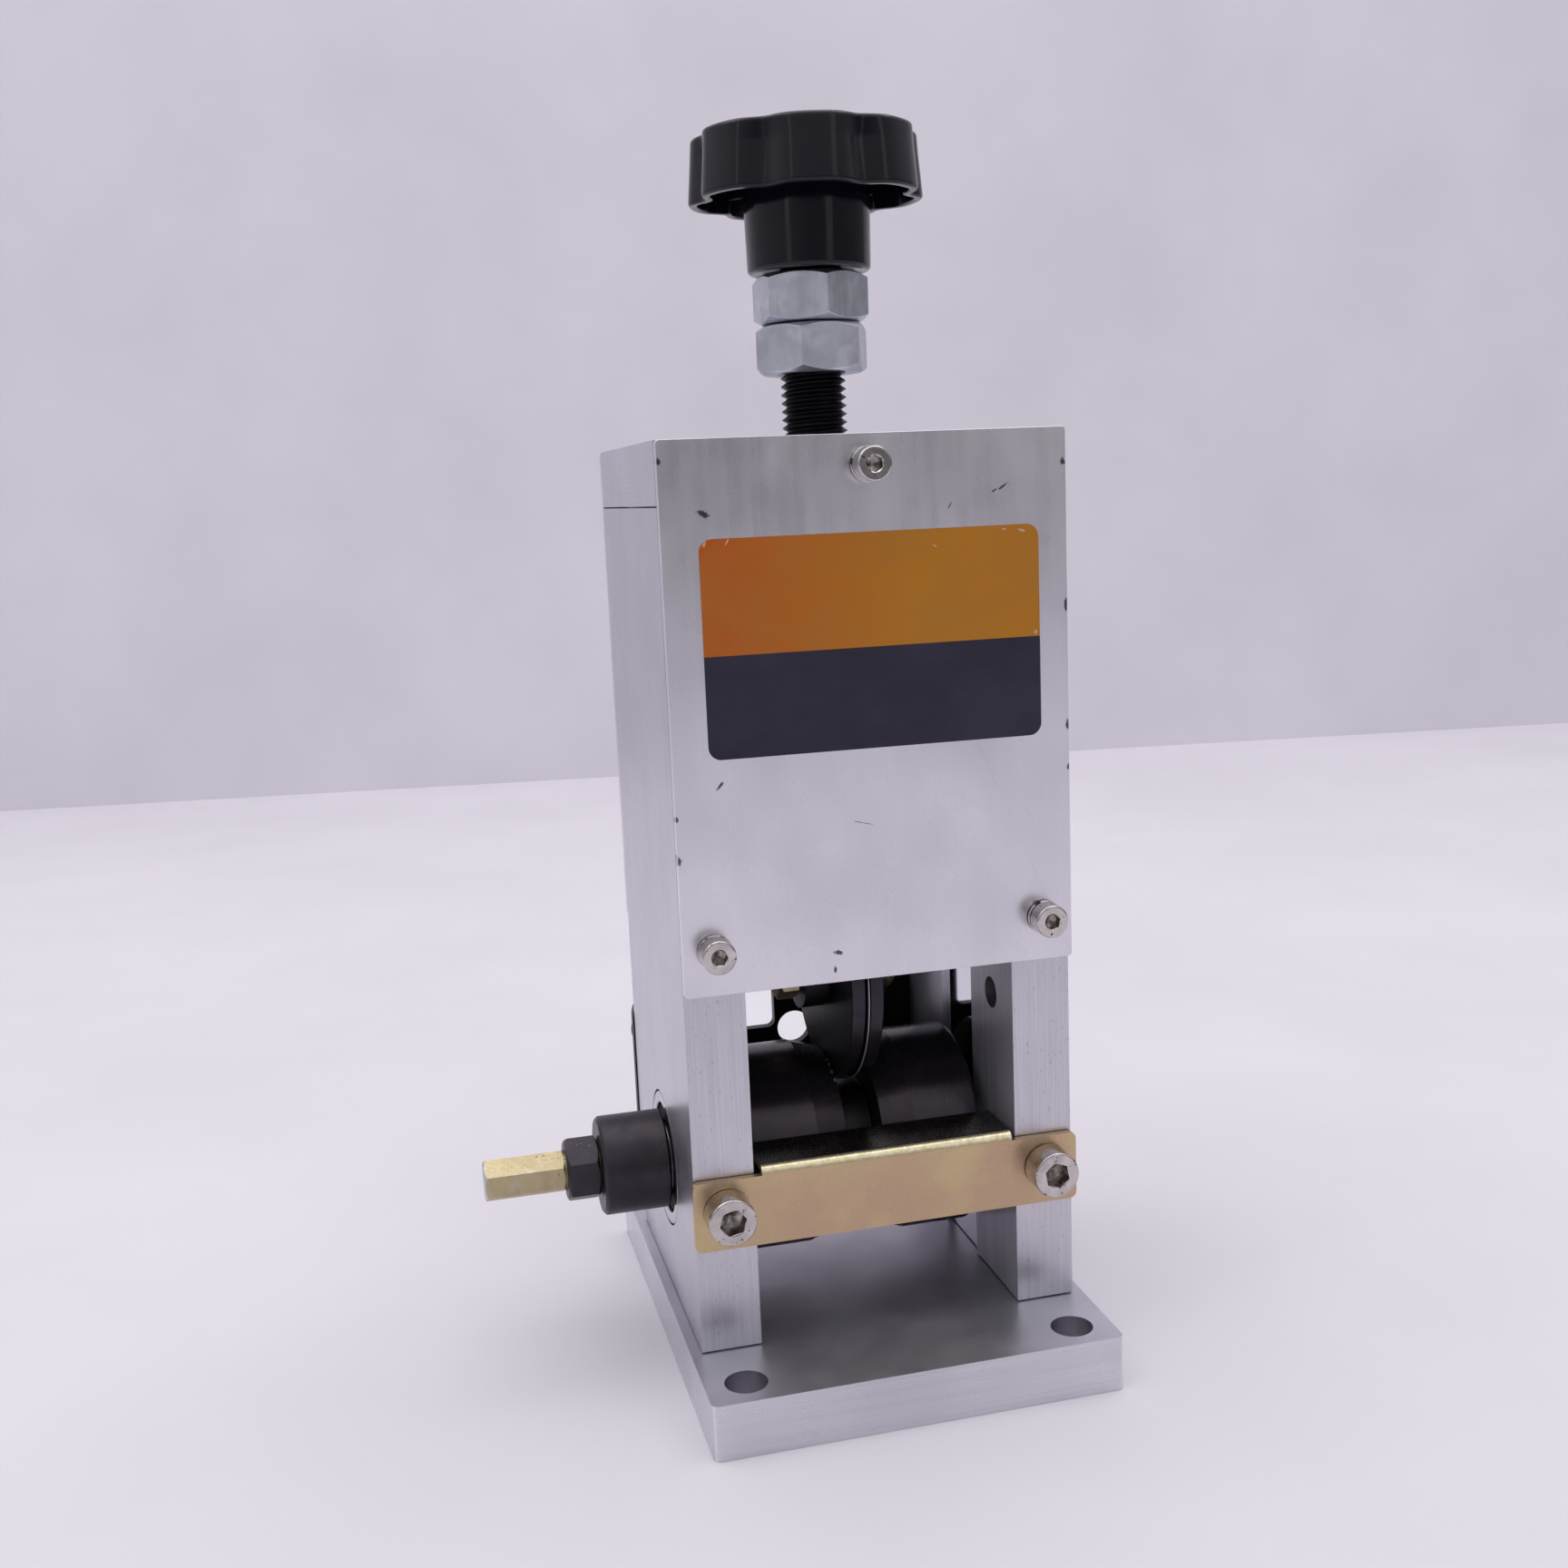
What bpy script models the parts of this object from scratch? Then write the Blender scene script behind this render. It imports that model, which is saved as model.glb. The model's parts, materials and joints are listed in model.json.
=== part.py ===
"""Hand crank wire stripper: a bench tool that slits cable insulation.

A cable enters through the rear guide plate, runs between a grooved drive roller
and a disc cutter, and leaves at the front. The star knob turns a threaded rod
that raises and lowers the cutter carriage. A crank or drill turns the hex
adapter on the left, and with it the roller.

Units are metres. +Z is up, -Y is the front, and the origin is the middle of the
base's underside.
"""

import math

import bmesh
import bpy
from mathutils import Matrix, Vector

MM = 0.001

# Fits and cuts
fit_gap = 0.3 * MM
cut_overrun = 1.0 * MM
joint_overlap = 0.5 * MM
merge_distance = 0.003 * MM
edge_break = 0.35 * MM
edge_break_angle = math.radians(50)
sharp_angle = math.radians(32)

# Facets round a full turn
wheel_facets = 40
ring_facets = 28
nut_facets = 20
bore_facets = 16
screw_facets = 12
hole_facets = 10
washer_facets = 9
corner_steps = 2

# Base plate
base_side_margin = 2.4 * MM
base_end_margin = 21.45 * MM
base_thickness = 12.0 * MM
base_corner_radius = 1.5 * MM
mount_hole_diameter = 9.0 * MM
mount_hole_side_inset = 8.7 * MM
mount_hole_end_inset = 7.6 * MM

# Side plates and top block
body_width = 84.0 * MM
body_depth = 70.6 * MM
body_height = 200.8 * MM
side_thickness = 12.9 * MM
top_block_height = 12.5 * MM
guide_slot_width = 20.0 * MM
guide_slot_depth = 1.0 * MM
frame_screw_inset = 15.3 * MM
stop_hole_diameter = 7.0 * MM
stop_hole_depth = 6.0 * MM
stop_hole_drop = 4.2 * MM
stop_hole_front_inset = 12.8 * MM

# Covers
cover_thickness = 1.9 * MM
cover_rise_above_axle = 6.7 * MM
cover_corner_radius = 0.8 * MM
cover_screw_inset = 6.5 * MM
cover_top_screw_drop = 6.1 * MM
cover_low_screw_rise = 9.3 * MM

# Socket head screws, small and large, and their lock washers
small_screw_diameter = 4.0 * MM
small_head_diameter = 7.0 * MM
small_head_height = 4.0 * MM
small_socket_width = 3.0 * MM
small_screw_length = 11.0 * MM
large_screw_diameter = 6.0 * MM
large_head_diameter = 10.0 * MM
large_head_height = 6.0 * MM
large_socket_width = 5.0 * MM
large_screw_length = 18.0 * MM
bracket_screw_length = 14.0 * MM
socket_depth_share = 0.55
head_chamfer_share = 0.06
button_lip_share = 0.2
button_dome_shares = (0.55, 0.85, 1.0)
washer_thickness = 0.9 * MM
washer_rim = 1.35 * MM
washer_split = 0.9 * MM
washer_turn = math.radians(60)

# Front guard bracket
bracket_overhang = 0.5 * MM
bracket_drop = 6.9 * MM
bracket_rise = 8.2 * MM
bracket_sheet = 1.5 * MM
bracket_bend_radius = 0.4 * MM
bracket_corner_radius = 1.5 * MM
lip_side_clearance = 1.4 * MM
lip_roller_clearance = 0.3 * MM
bracket_screw_rise = 1.5 * MM

# Rear wire guide plate
guide_overhang = 0.3 * MM
guide_drop = 7.2 * MM
guide_rise = 28.4 * MM
guide_sheet = 2.5 * MM
guide_outer_radius = 6.0 * MM
notch_inner_x = 6.6 * MM
notch_outer_x = 18.2 * MM
notch_floor_rise = 15.8 * MM
notch_radius = 1.8 * MM
wire_hole_diameter = 8.4 * MM
wire_hole_offset = 1.7 * MM
wire_hole_rise = 15.0 * MM
guide_screw_rise = 18.1 * MM
guide_screw_side_inset = 6.4 * MM
button_head_diameter = 13.6 * MM
button_head_height = 3.3 * MM
button_screw_diameter = 6.0 * MM
button_screw_length = 12.0 * MM
button_socket_width = 4.0 * MM

# Drive shaft, bearings and roller
shaft_diameter = 10.0 * MM
shaft_middle_diameter = 12.0 * MM
shaft_reach_left = 8.2 * MM
bearing_diameter = 30.0 * MM
bearing_width = 9.0 * MM
bearing_ring_wall = 2.6 * MM
bearing_seal_recess = 0.6 * MM
bearing_shoulder = 3.0 * MM
roller_side_clearance = 2.6 * MM
roller_base_gap = 7.2 * MM
roller_diameter = 46.0 * MM
roller_edge_radius = 1.2 * MM
groove_width = 20.4 * MM
groove_wheel_clearance = 0.7 * MM
groove_depth = 10.7 * MM
spacer_diameter = 16.0 * MM
set_screw_diameter = 5.0 * MM
set_screw_length = 8.0 * MM
set_screw_socket = 2.5 * MM
set_screw_end_inset = 8.0 * MM
set_screw_angle = math.radians(-62)

# Drive stub on the left
sleeve_diameter = 22.0 * MM
sleeve_length = 14.8 * MM
sleeve_chamfer = 0.7 * MM
sleeve_shaft_depth = 8.2 * MM
stud_diameter = 8.0 * MM
stud_depth = 6.2 * MM
lock_nut_width = 13.0 * MM
lock_nut_height = 7.3 * MM
hex_adapter_width = 8.8 * MM
hex_adapter_length = 17.8 * MM
hex_adapter_chamfer = 0.9 * MM
stub_corner_angle = math.radians(28)

# Cutter carriage
axle_diameter = 8.0 * MM
axle_head_diameter = 14.0 * MM
axle_head_height = 4.4 * MM
axle_nut_width = 13.0 * MM
axle_nut_height = 5.0 * MM
axle_socket_width = 5.0 * MM
axle_tip = 1.4 * MM
fork_wheel_clearance = 0.4 * MM
fork_arm_thickness = 5.5 * MM
fork_arm_inset = 0.2 * MM
carriage_wheel_gap = 2.0 * MM
carriage_height = 25.0 * MM

# Cutter wheel
blade_diameter = 53.0 * MM
blade_thickness = 1.2 * MM
blade_bevel = 1.6 * MM
blade_root_gap = 2.5 * MM
flange_setback = 1.0 * MM
flange_thickness = 2.7 * MM
flange_chamfer = 0.3 * MM
bush_diameter = 12.0 * MM

# Threaded rod, its retaining plate, nuts and knob
rod_diameter = 14.0 * MM
rod_chamfer = 1.2 * MM
rod_neck_diameter = 9.4 * MM
rod_button_diameter = 13.0 * MM
rod_button_height = 6.0 * MM
rod_knob_depth = 18.2 * MM
retainer_thickness = 3.0 * MM
retainer_width = 34.0 * MM
retainer_corner_radius = 2.0 * MM
retainer_screw_offset = 12.0 * MM
retainer_screw_length = 8.0 * MM
retainer_head_height = 2.2 * MM
rod_nut_width = 22.0 * MM
rod_nut_height = 10.2 * MM
stop_nut_rise = 14.0 * MM
stop_nut_turn = math.radians(5.4)
knob_lock_nut_turn = math.radians(31.9)
nut_chamfer_share = 0.95
knob_diameter = 51.0 * MM
knob_lobes = 7
knob_facets_per_lobe = 8
knob_groove_depth = 2.8 * MM
knob_groove_power = 3.0
knob_groove_angle = math.radians(27.9)
knob_rim_height = 14.5 * MM
knob_rim_above_hub = 13.0 * MM
knob_draft = math.radians(4.5)
knob_edge_radius = 1.8 * MM
knob_dome_rise = 1.6 * MM
knob_dome_ring_share = 0.55
knob_wall = 2.0 * MM
knob_crown = 3.2 * MM
knob_hub_diameter = 26.4 * MM
knob_hub_draft = math.radians(1.0)
knob_hub_edge = 0.8 * MM
knob_rib_thickness = 1.6 * MM
knob_rib_height = 7.0 * MM

# Places that follow from the sizes above
base_width = body_width + 2 * base_side_margin
base_depth = body_depth + 2 * base_end_margin
frame_screw_offset = body_depth / 2 - frame_screw_inset
shaft_height = base_thickness + roller_base_gap + roller_diameter / 2
wheel_width = blade_thickness + 2 * (fit_gap + flange_thickness)
flange_diameter = blade_diameter - 2 * flange_setback
groove_root_width = wheel_width + 2 * groove_wheel_clearance
groove_root_top = shaft_height + roller_diameter / 2 - groove_depth
axle_height = groove_root_top + blade_root_gap + blade_diameter / 2
side_inner_x = body_width / 2 - side_thickness
side_middle_x = body_width / 2 - side_thickness / 2
side_bottom = base_thickness + fit_gap
top_block_bottom = body_height - top_block_height
side_top = top_block_bottom - fit_gap
front_face = -body_depth / 2
rear_face = body_depth / 2
stop_hole_height = axle_height - stop_hole_drop
cover_bottom = axle_height + cover_rise_above_axle
cover_back = body_depth / 2 + fit_gap
cover_front = cover_back + cover_thickness
cover_screw_x = body_width / 2 - cover_screw_inset
bracket_bottom = shaft_height - bracket_drop
bracket_wing_top = shaft_height + bracket_rise
bracket_screw_height = shaft_height + bracket_screw_rise
half_lip = side_inner_x - lip_side_clearance
guide_bottom = shaft_height - guide_drop
guide_top = shaft_height + guide_rise
guide_screw_height = shaft_height + guide_screw_rise
wire_hole_height = shaft_height + wire_hole_rise
notch_floor = shaft_height + notch_floor_rise
bearing_inner_end = body_width / 2 - bearing_width
roller_end = side_inner_x - roller_side_clearance
set_screw_offset = roller_end - set_screw_end_inset
fork_inner_x = wheel_width / 2 + fork_wheel_clearance
fork_outer_x = fork_inner_x + fork_arm_thickness
carriage_depth = guide_slot_width - 2 * fit_gap
fork_arm_width = carriage_depth - 2 * fork_arm_inset
carriage_width = 2 * (side_inner_x + guide_slot_depth - fit_gap)
carriage_bottom = axle_height + blade_diameter / 2 + carriage_wheel_gap
carriage_top = carriage_bottom + carriage_height
retainer_bottom = carriage_top + fit_gap
retainer_top = retainer_bottom + retainer_thickness
rod_shoulder = retainer_top + fit_gap
stop_nut_bottom = body_height + stop_nut_rise
stop_nut_top = stop_nut_bottom + rod_nut_height
knob_lock_nut_bottom = stop_nut_top + fit_gap
knob_hub_bottom = knob_lock_nut_bottom + rod_nut_height + fit_gap
rod_top = knob_hub_bottom + rod_knob_depth

ALONG = {
    "+x": Matrix.Rotation(math.pi / 2, 4, "Y"),
    "-x": Matrix.Rotation(-math.pi / 2, 4, "Y"),
    "+y": Matrix.Rotation(-math.pi / 2, 4, "X"),
    "-y": Matrix.Rotation(math.pi / 2, 4, "X"),
    "+z": Matrix.Identity(4),
    "-z": Matrix.Rotation(math.pi, 4, "X"),
    "set_screw": Matrix.Rotation(set_screw_angle - math.pi / 2, 4, "X"),
}

FINISHES = {
    "milled_aluminium": ((0.62, 0.62, 0.65), 0.38, 1.0),
    "black_oxide": ((0.035, 0.033, 0.037), 0.42, 0.8),
    "bright_zinc": ((0.60, 0.63, 0.66), 0.32, 1.0),
    "yellow_zinc": ((0.62, 0.50, 0.28), 0.34, 1.0),
    "nickel": ((0.62, 0.59, 0.57), 0.22, 1.0),
    "bearing_steel": ((0.55, 0.56, 0.58), 0.2, 1.0),
    "black_rubber": ((0.02, 0.02, 0.02), 0.7, 0.0),
    "bronze": ((0.42, 0.28, 0.13), 0.4, 1.0),
    "tool_steel": ((0.33, 0.33, 0.35), 0.28, 1.0),
    "black_plastic": ((0.012, 0.012, 0.014), 0.25, 0.0),
}


def clear_scene():
    """Removes whatever the scene starts with."""
    for thing in list(bpy.data.objects):
        bpy.data.objects.remove(thing, do_unlink=True)


def make_material(name, finish):
    """A Principled material of its own for one piece."""
    colour, roughness, metallic = FINISHES[finish]
    material = bpy.data.materials.new(name)
    material.use_nodes = True
    shader = material.node_tree.nodes["Principled BSDF"]
    shader.inputs["Base Color"].default_value = (*colour, 1.0)
    shader.inputs["Roughness"].default_value = roughness
    shader.inputs["Metallic"].default_value = metallic
    return material


def make_axis(name, location, parent=None):
    """An empty on a joint's axis, which carries the pieces that move with it."""
    empty = bpy.data.objects.new(name, None)
    bpy.context.scene.collection.objects.link(empty)
    empty.parent = parent
    start = parent.matrix_world.translation if parent else Vector()
    empty.location = Vector(location) - start
    bpy.context.view_layer.update()
    return empty


def make_piece(name, mesh, finish, location=(0, 0, 0), along="+z", turn=0.0, parent=None):
    """Places a mesh as one named piece. Its local Z points along the given way."""
    piece = bpy.data.objects.new(name, mesh)
    bpy.context.scene.collection.objects.link(piece)
    piece.data.materials.append(make_material(name, finish))
    piece.data.shade_smooth()
    piece.data.set_sharp_from_angle(angle=sharp_angle)
    piece.parent = parent
    start = parent.matrix_world.translation if parent else Vector()
    spin = ALONG[along] @ Matrix.Rotation(turn, 4, "Z")
    piece.matrix_basis = Matrix.Translation(Vector(location) - start) @ spin
    return piece


def mesh_of(shape, name="shape"):
    """Turns a bmesh into a mesh with its faces pointing out."""
    bmesh.ops.recalc_face_normals(shape, faces=shape.faces)
    mesh = bpy.data.meshes.new(name)
    shape.to_mesh(mesh)
    shape.free()
    return mesh


def turned(profile, facets=ring_facets, closed=False):
    """Revolves (radius, height) points about Z. Open profiles start and end on the axis."""
    shape = bmesh.new()
    rings = []
    for radius, height in profile:
        if radius == 0:
            rings.append([shape.verts.new((0, 0, height))] * facets)
            continue
        ring = []
        for step in range(facets):
            angle = 2 * math.pi * step / facets
            ring.append(shape.verts.new((radius * math.cos(angle), radius * math.sin(angle), height)))
        rings.append(ring)
    pairs = list(zip(rings, rings[1:]))
    if closed:
        pairs.append((rings[-1], rings[0]))
    for low, high in pairs:
        for step in range(facets):
            after = (step + 1) % facets
            corners = []
            for corner in (low[step], low[after], high[after], high[step]):
                if corner not in corners:
                    corners.append(corner)
            if len(corners) > 2:
                shape.faces.new(corners)
    return mesh_of(shape)


def prism(outline, low, high):
    """Extrudes a flat outline of (x, y) points from one height to another."""
    shape = bmesh.new()
    bottom = [shape.verts.new((x, y, low)) for x, y in outline]
    face = shape.faces.new(bottom)
    raised = bmesh.ops.extrude_face_region(shape, geom=[face])
    tops = [part for part in raised["geom"] if isinstance(part, bmesh.types.BMVert)]
    bmesh.ops.translate(shape, verts=tops, vec=(0, 0, high - low))
    return mesh_of(shape)


def rounded(corners, steps=corner_steps):
    """Rounds each (x, y, radius) corner of an outline with an arc."""
    points = []
    for index, (x, y, radius) in enumerate(corners):
        here = Vector((x, y))
        if not radius:
            points.append((x, y))
            continue
        before = Vector(corners[index - 1][:2]) - here
        after = Vector(corners[(index + 1) % len(corners)][:2]) - here
        half = before.angle(after) / 2
        bisector = (before.normalized() + after.normalized()).normalized()
        centre = here + bisector * (radius / math.sin(half))
        start = here + before.normalized() * (radius / math.tan(half)) - centre
        end = here + after.normalized() * (radius / math.tan(half)) - centre
        sweep = start.angle_signed(end)
        for step in range(steps + 1):
            arm = start.copy()
            arm.rotate(Matrix.Rotation(-sweep * step / steps, 2))
            points.append(tuple(centre + arm))
    return points


def rectangle(width, depth, radius=0.0):
    """A centred rectangle with rounded corners."""
    x, y = width / 2, depth / 2
    return rounded([(-x, -y, radius), (x, -y, radius), (x, y, radius), (-x, y, radius)])


def hexagon(across_flats):
    """A centred hexagon with a corner on +X."""
    reach = across_flats / math.sqrt(3)
    return [(reach * math.cos(k * math.pi / 3), reach * math.sin(k * math.pi / 3)) for k in range(6)]


def circle(radius, facets):
    """The points of a centred circle."""
    turn = 2 * math.pi / facets
    return [(radius * math.cos(k * turn), radius * math.sin(k * turn)) for k in range(facets)]


def placed(mesh, location, along="+z", turn=0.0):
    """Moves a mesh's own points, for shapes that are joined into one cutter."""
    spin = ALONG[along] @ Matrix.Rotation(turn, 4, "Z")
    mesh.transform(Matrix.Translation(Vector(location)) @ spin)
    return mesh


def bore(diameter, depth, location, along, facets=hole_facets):
    """A plain drilled hole: it starts one overrun outside the face and runs inward."""
    return placed(prism(circle(diameter / 2, facets), -cut_overrun, depth), location, along)


def stepped_bore(head_diameter, head_depth, diameter, depth, location, along, facets=hole_facets):
    """A counterbored hole, cut from the face at its location inward."""
    profile = [
        (0, -cut_overrun),
        (head_diameter / 2, -cut_overrun),
        (head_diameter / 2, head_depth),
        (diameter / 2, head_depth),
        (diameter / 2, depth),
        (0, depth),
    ]
    return placed(turned(profile, facets), location, along)


def shape_with(piece, meshes, operation):
    """Cuts, joins or intersects a piece with one hidden tool made of the given meshes."""
    shape = bmesh.new()
    for mesh in meshes:
        shape.from_mesh(mesh)
    tool = bpy.data.objects.new(f"{piece.name}_{operation.lower()}", mesh_of(shape))
    bpy.context.scene.collection.objects.link(tool)
    tool.hide_render = True
    tool.display_type = "WIRE"
    modifier = piece.modifiers.new(operation.title(), "BOOLEAN")
    modifier.operation = operation
    modifier.solver = "EXACT"
    modifier.object = tool
    return tool


def cut(piece, meshes):
    """Takes the given world-space meshes out of a piece."""
    shape_with(piece, meshes, "DIFFERENCE")


def follow(tool, piece):
    """Sets a tool drawn in a piece's own frame over that piece."""
    tool.parent = piece.parent
    tool.matrix_basis = piece.matrix_basis.copy()


def break_edges(piece, width=edge_break):
    """A small chamfer along a machined block's edges."""
    modifier = piece.modifiers.new("Edges", "BEVEL")
    modifier.width = width
    modifier.segments = 1
    modifier.limit_method = "ANGLE"
    modifier.angle_limit = edge_break_angle


def screw_profile(diameter, length, head_diameter, head_height):
    """A socket head screw, with its head's seat at height zero."""
    chamfer = head_diameter * head_chamfer_share
    return [
        (0, head_height),
        (head_diameter / 2 - chamfer, head_height),
        (head_diameter / 2, head_height - chamfer),
        (head_diameter / 2, 0),
        (diameter / 2, 0),
        (diameter / 2, -length),
        (0, -length),
    ]


def button_profile(diameter, length, head_diameter, head_height):
    """A button head screw, with its domed head's seat at height zero."""
    lip = head_height * button_lip_share
    dome = head_height - lip
    radius = head_diameter / 2
    points = [(0, head_height)]
    for share in button_dome_shares:
        points.append((radius * share, lip + dome * math.sqrt(1 - share * share)))
    points += [(radius, 0), (diameter / 2, 0), (diameter / 2, -length), (0, -length)]
    return points


def make_screw(name, profile, socket_width, socket_depth, finish, location, along, parent=None):
    """A screw turned from its profile, with a hex socket cut into the head's top."""
    top = profile[0][1]
    screw = make_piece(name, turned(profile, screw_facets), finish, location, along, parent=parent)
    socket = prism(hexagon(socket_width), top - socket_depth, top + cut_overrun)
    follow(shape_with(screw, [socket], "DIFFERENCE"), screw)
    return screw


def make_small_screw(name, location, along, length=small_screw_length):
    """A small nickel socket screw, such as those of the covers."""
    profile = screw_profile(small_screw_diameter, length, small_head_diameter, small_head_height)
    depth = small_head_height * socket_depth_share
    make_screw(name, profile, small_socket_width, depth, "nickel", location, along)


def make_large_screw(name, location, along, finish="nickel", length=large_screw_length):
    """A large socket screw, such as those of the frame."""
    profile = screw_profile(large_screw_diameter, length, large_head_diameter, large_head_height)
    depth = large_head_height * socket_depth_share
    make_screw(name, profile, large_socket_width, depth, finish, location, along)


def make_lock_washer(name, location, along):
    """A split ring of square section, open by its split."""
    inner = small_screw_diameter / 2 + fit_gap
    outer = inner + washer_rim
    opening = washer_split / outer
    outline = []
    forward = range(washer_facets + 1)
    for radius, order in ((inner, forward), (outer, reversed(forward))):
        for step in order:
            angle = opening / 2 + (2 * math.pi - opening) * step / washer_facets
            outline.append((radius * math.cos(angle), radius * math.sin(angle)))
    make_piece(name, prism(outline, 0, washer_thickness), "nickel", location, along, washer_turn)


def hex_body(name, profile, across_flats, finish, location, along, turn, parent):
    """A hexagonal bar trimmed by a turned profile, which gives its chamfers."""
    low = min(height for radius, height in profile) - cut_overrun
    high = max(height for radius, height in profile) + cut_overrun
    piece = make_piece(name, prism(hexagon(across_flats), low, high), finish, location, along, turn, parent)
    follow(shape_with(piece, [turned(profile, nut_facets)], "INTERSECT"), piece)
    return piece


def make_nut(name, across_flats, height, bore_diameter, finish, location, along, turn, parent):
    """A hex nut with chamfered faces, standing on its location."""
    face = across_flats / 2 * nut_chamfer_share
    reach = across_flats / math.sqrt(3) + joint_overlap
    slope = (reach - face) * math.tan(math.pi / 6)
    profile = [(0, 0), (face, 0), (reach, slope), (reach, height - slope), (face, height), (0, height)]
    nut = hex_body(name, profile, across_flats, finish, location, along, turn, parent)
    hole = prism(circle(bore_diameter / 2, bore_facets), -cut_overrun, height + cut_overrun)
    follow(shape_with(nut, [hole], "DIFFERENCE"), nut)
    return nut


def frame_screw_places():
    """Where the screws that hold the side plates stand, as (name, x, y)."""
    places = []
    for side, x in (("left", -side_middle_x), ("right", side_middle_x)):
        for end, y in (("front", -frame_screw_offset), ("rear", frame_screw_offset)):
            places.append((f"{side}_{end}", x, y))
    return places


def make_base_plate():
    """The base, with four bench bolt holes and four counterbores below."""
    outline = rectangle(base_width, base_depth, base_corner_radius)
    base = make_piece("base_plate", prism(outline, 0, base_thickness), "milled_aluminium")
    break_edges(base)
    hole_x = base_width / 2 - mount_hole_side_inset
    hole_y = base_depth / 2 - mount_hole_end_inset
    tools = []
    for x in (-hole_x, hole_x):
        for y in (-hole_y, hole_y):
            depth = base_thickness + cut_overrun
            tools.append(bore(mount_hole_diameter, depth, (x, y, 0), "+z", bore_facets))
    head = large_head_diameter + 2 * fit_gap
    shank = large_screw_diameter + 2 * fit_gap
    head_depth = large_head_height + 2 * fit_gap
    for _, x, y in frame_screw_places():
        through = base_thickness + cut_overrun
        tools.append(stepped_bore(head, head_depth, shank, through, (x, y, 0), "+z"))
    cut(base, tools)


def side_plate_tools(side):
    """Every hole and slot of one side plate. side is -1 for the left plate and 1 for the right."""
    middle = side * side_middle_x
    outer = side * body_width / 2
    inward = "-x" if side > 0 else "+x"
    outward = "+x" if side > 0 else "-x"
    small = small_screw_diameter + 2 * fit_gap
    large = large_screw_diameter + 2 * fit_gap
    button = button_screw_diameter + 2 * fit_gap
    grip = large_screw_length - (base_thickness - large_head_height) + fit_gap
    top_grip = large_screw_length - (top_block_height - large_head_height) + fit_gap
    seat = bearing_diameter + 2 * fit_gap
    through = bearing_diameter - 2 * bearing_shoulder
    tools = [stepped_bore(
        seat, bearing_width + fit_gap, through, side_thickness + cut_overrun,
        (outer, 0, shaft_height), inward, ring_facets,
    )]
    for y in (-frame_screw_offset, frame_screw_offset):
        tools.append(bore(large, grip, (middle, y, side_bottom), "+z"))
        tools.append(bore(large, top_grip, (middle, y, side_top), "-z"))
    cover_z = cover_bottom + cover_low_screw_rise
    for face, way in ((front_face, "+y"), (rear_face, "-y")):
        place = (side * cover_screw_x, face, cover_z)
        tools.append(bore(small, small_screw_length, place, way, screw_facets))
    place = (side * cover_screw_x, front_face, bracket_screw_height)
    tools.append(bore(large, bracket_screw_length, place, "+y"))
    place = (side * (body_width / 2 - guide_screw_side_inset), rear_face, guide_screw_height)
    tools.append(bore(button, button_screw_length, place, "-y"))
    slot_outline = rectangle(2 * guide_slot_depth, guide_slot_width)
    slot = prism(slot_outline, side_bottom - cut_overrun, side_top + cut_overrun)
    tools_slot = placed(slot, (side * side_inner_x, 0, 0))
    if side > 0:
        stop_y = front_face + stop_hole_front_inset
        place = (side_inner_x, stop_y, stop_hole_height)
        tools.append(bore(stop_hole_diameter, stop_hole_depth, place, outward))
    return tools, tools_slot


def make_side_plates():
    """The two walls that carry the bearings and guide the carriage in their slots."""
    for name, side in (("left_side_plate", -1), ("right_side_plate", 1)):
        outline = rectangle(side_thickness, body_depth)
        mesh = placed(prism(outline, side_bottom, side_top), (side * side_middle_x, 0, 0))
        plate = make_piece(name, mesh, "milled_aluminium")
        break_edges(plate)
        tools, slot = side_plate_tools(side)
        cut(plate, [slot])
        cut(plate, tools)


def make_top_block():
    """The block that joins the side plates and holds the rod's thread."""
    outline = rectangle(body_width, body_depth)
    block = make_piece("top_block", prism(outline, top_block_bottom, body_height), "milled_aluminium")
    break_edges(block)
    tools = [bore(
        rod_diameter + 2 * fit_gap, top_block_height + cut_overrun,
        (0, 0, body_height), "-z", bore_facets,
    )]
    head = large_head_diameter + 2 * fit_gap
    shank = large_screw_diameter + 2 * fit_gap
    for _, x, y in frame_screw_places():
        through = top_block_height + cut_overrun
        tools.append(stepped_bore(
            head, large_head_height + fit_gap, shank, through, (x, y, body_height), "-z",
        ))
    small = small_screw_diameter + 2 * fit_gap
    screw_z = body_height - cover_top_screw_drop
    tools.append(bore(small, small_screw_length, (0, front_face, screw_z), "+y"))
    tools.append(bore(small, small_screw_length, (0, rear_face, screw_z), "-y"))
    cut(block, tools)


def make_frame_screws():
    """Four screws up through the base and four down through the top block."""
    base_seat = large_head_height + fit_gap
    top_seat = body_height - large_head_height
    for place, x, y in frame_screw_places():
        make_large_screw(f"base_screw_{place}", (x, y, base_seat), "-z")
        make_large_screw(f"top_screw_{place}", (x, y, top_seat), "+z")


def cover_screw_places():
    """Where the three screws of a cover stand, as (name, x, z)."""
    low = cover_bottom + cover_low_screw_rise
    high = body_height - cover_top_screw_drop
    return [("left", -cover_screw_x, low), ("right", cover_screw_x, low), ("top", 0, high)]


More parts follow.
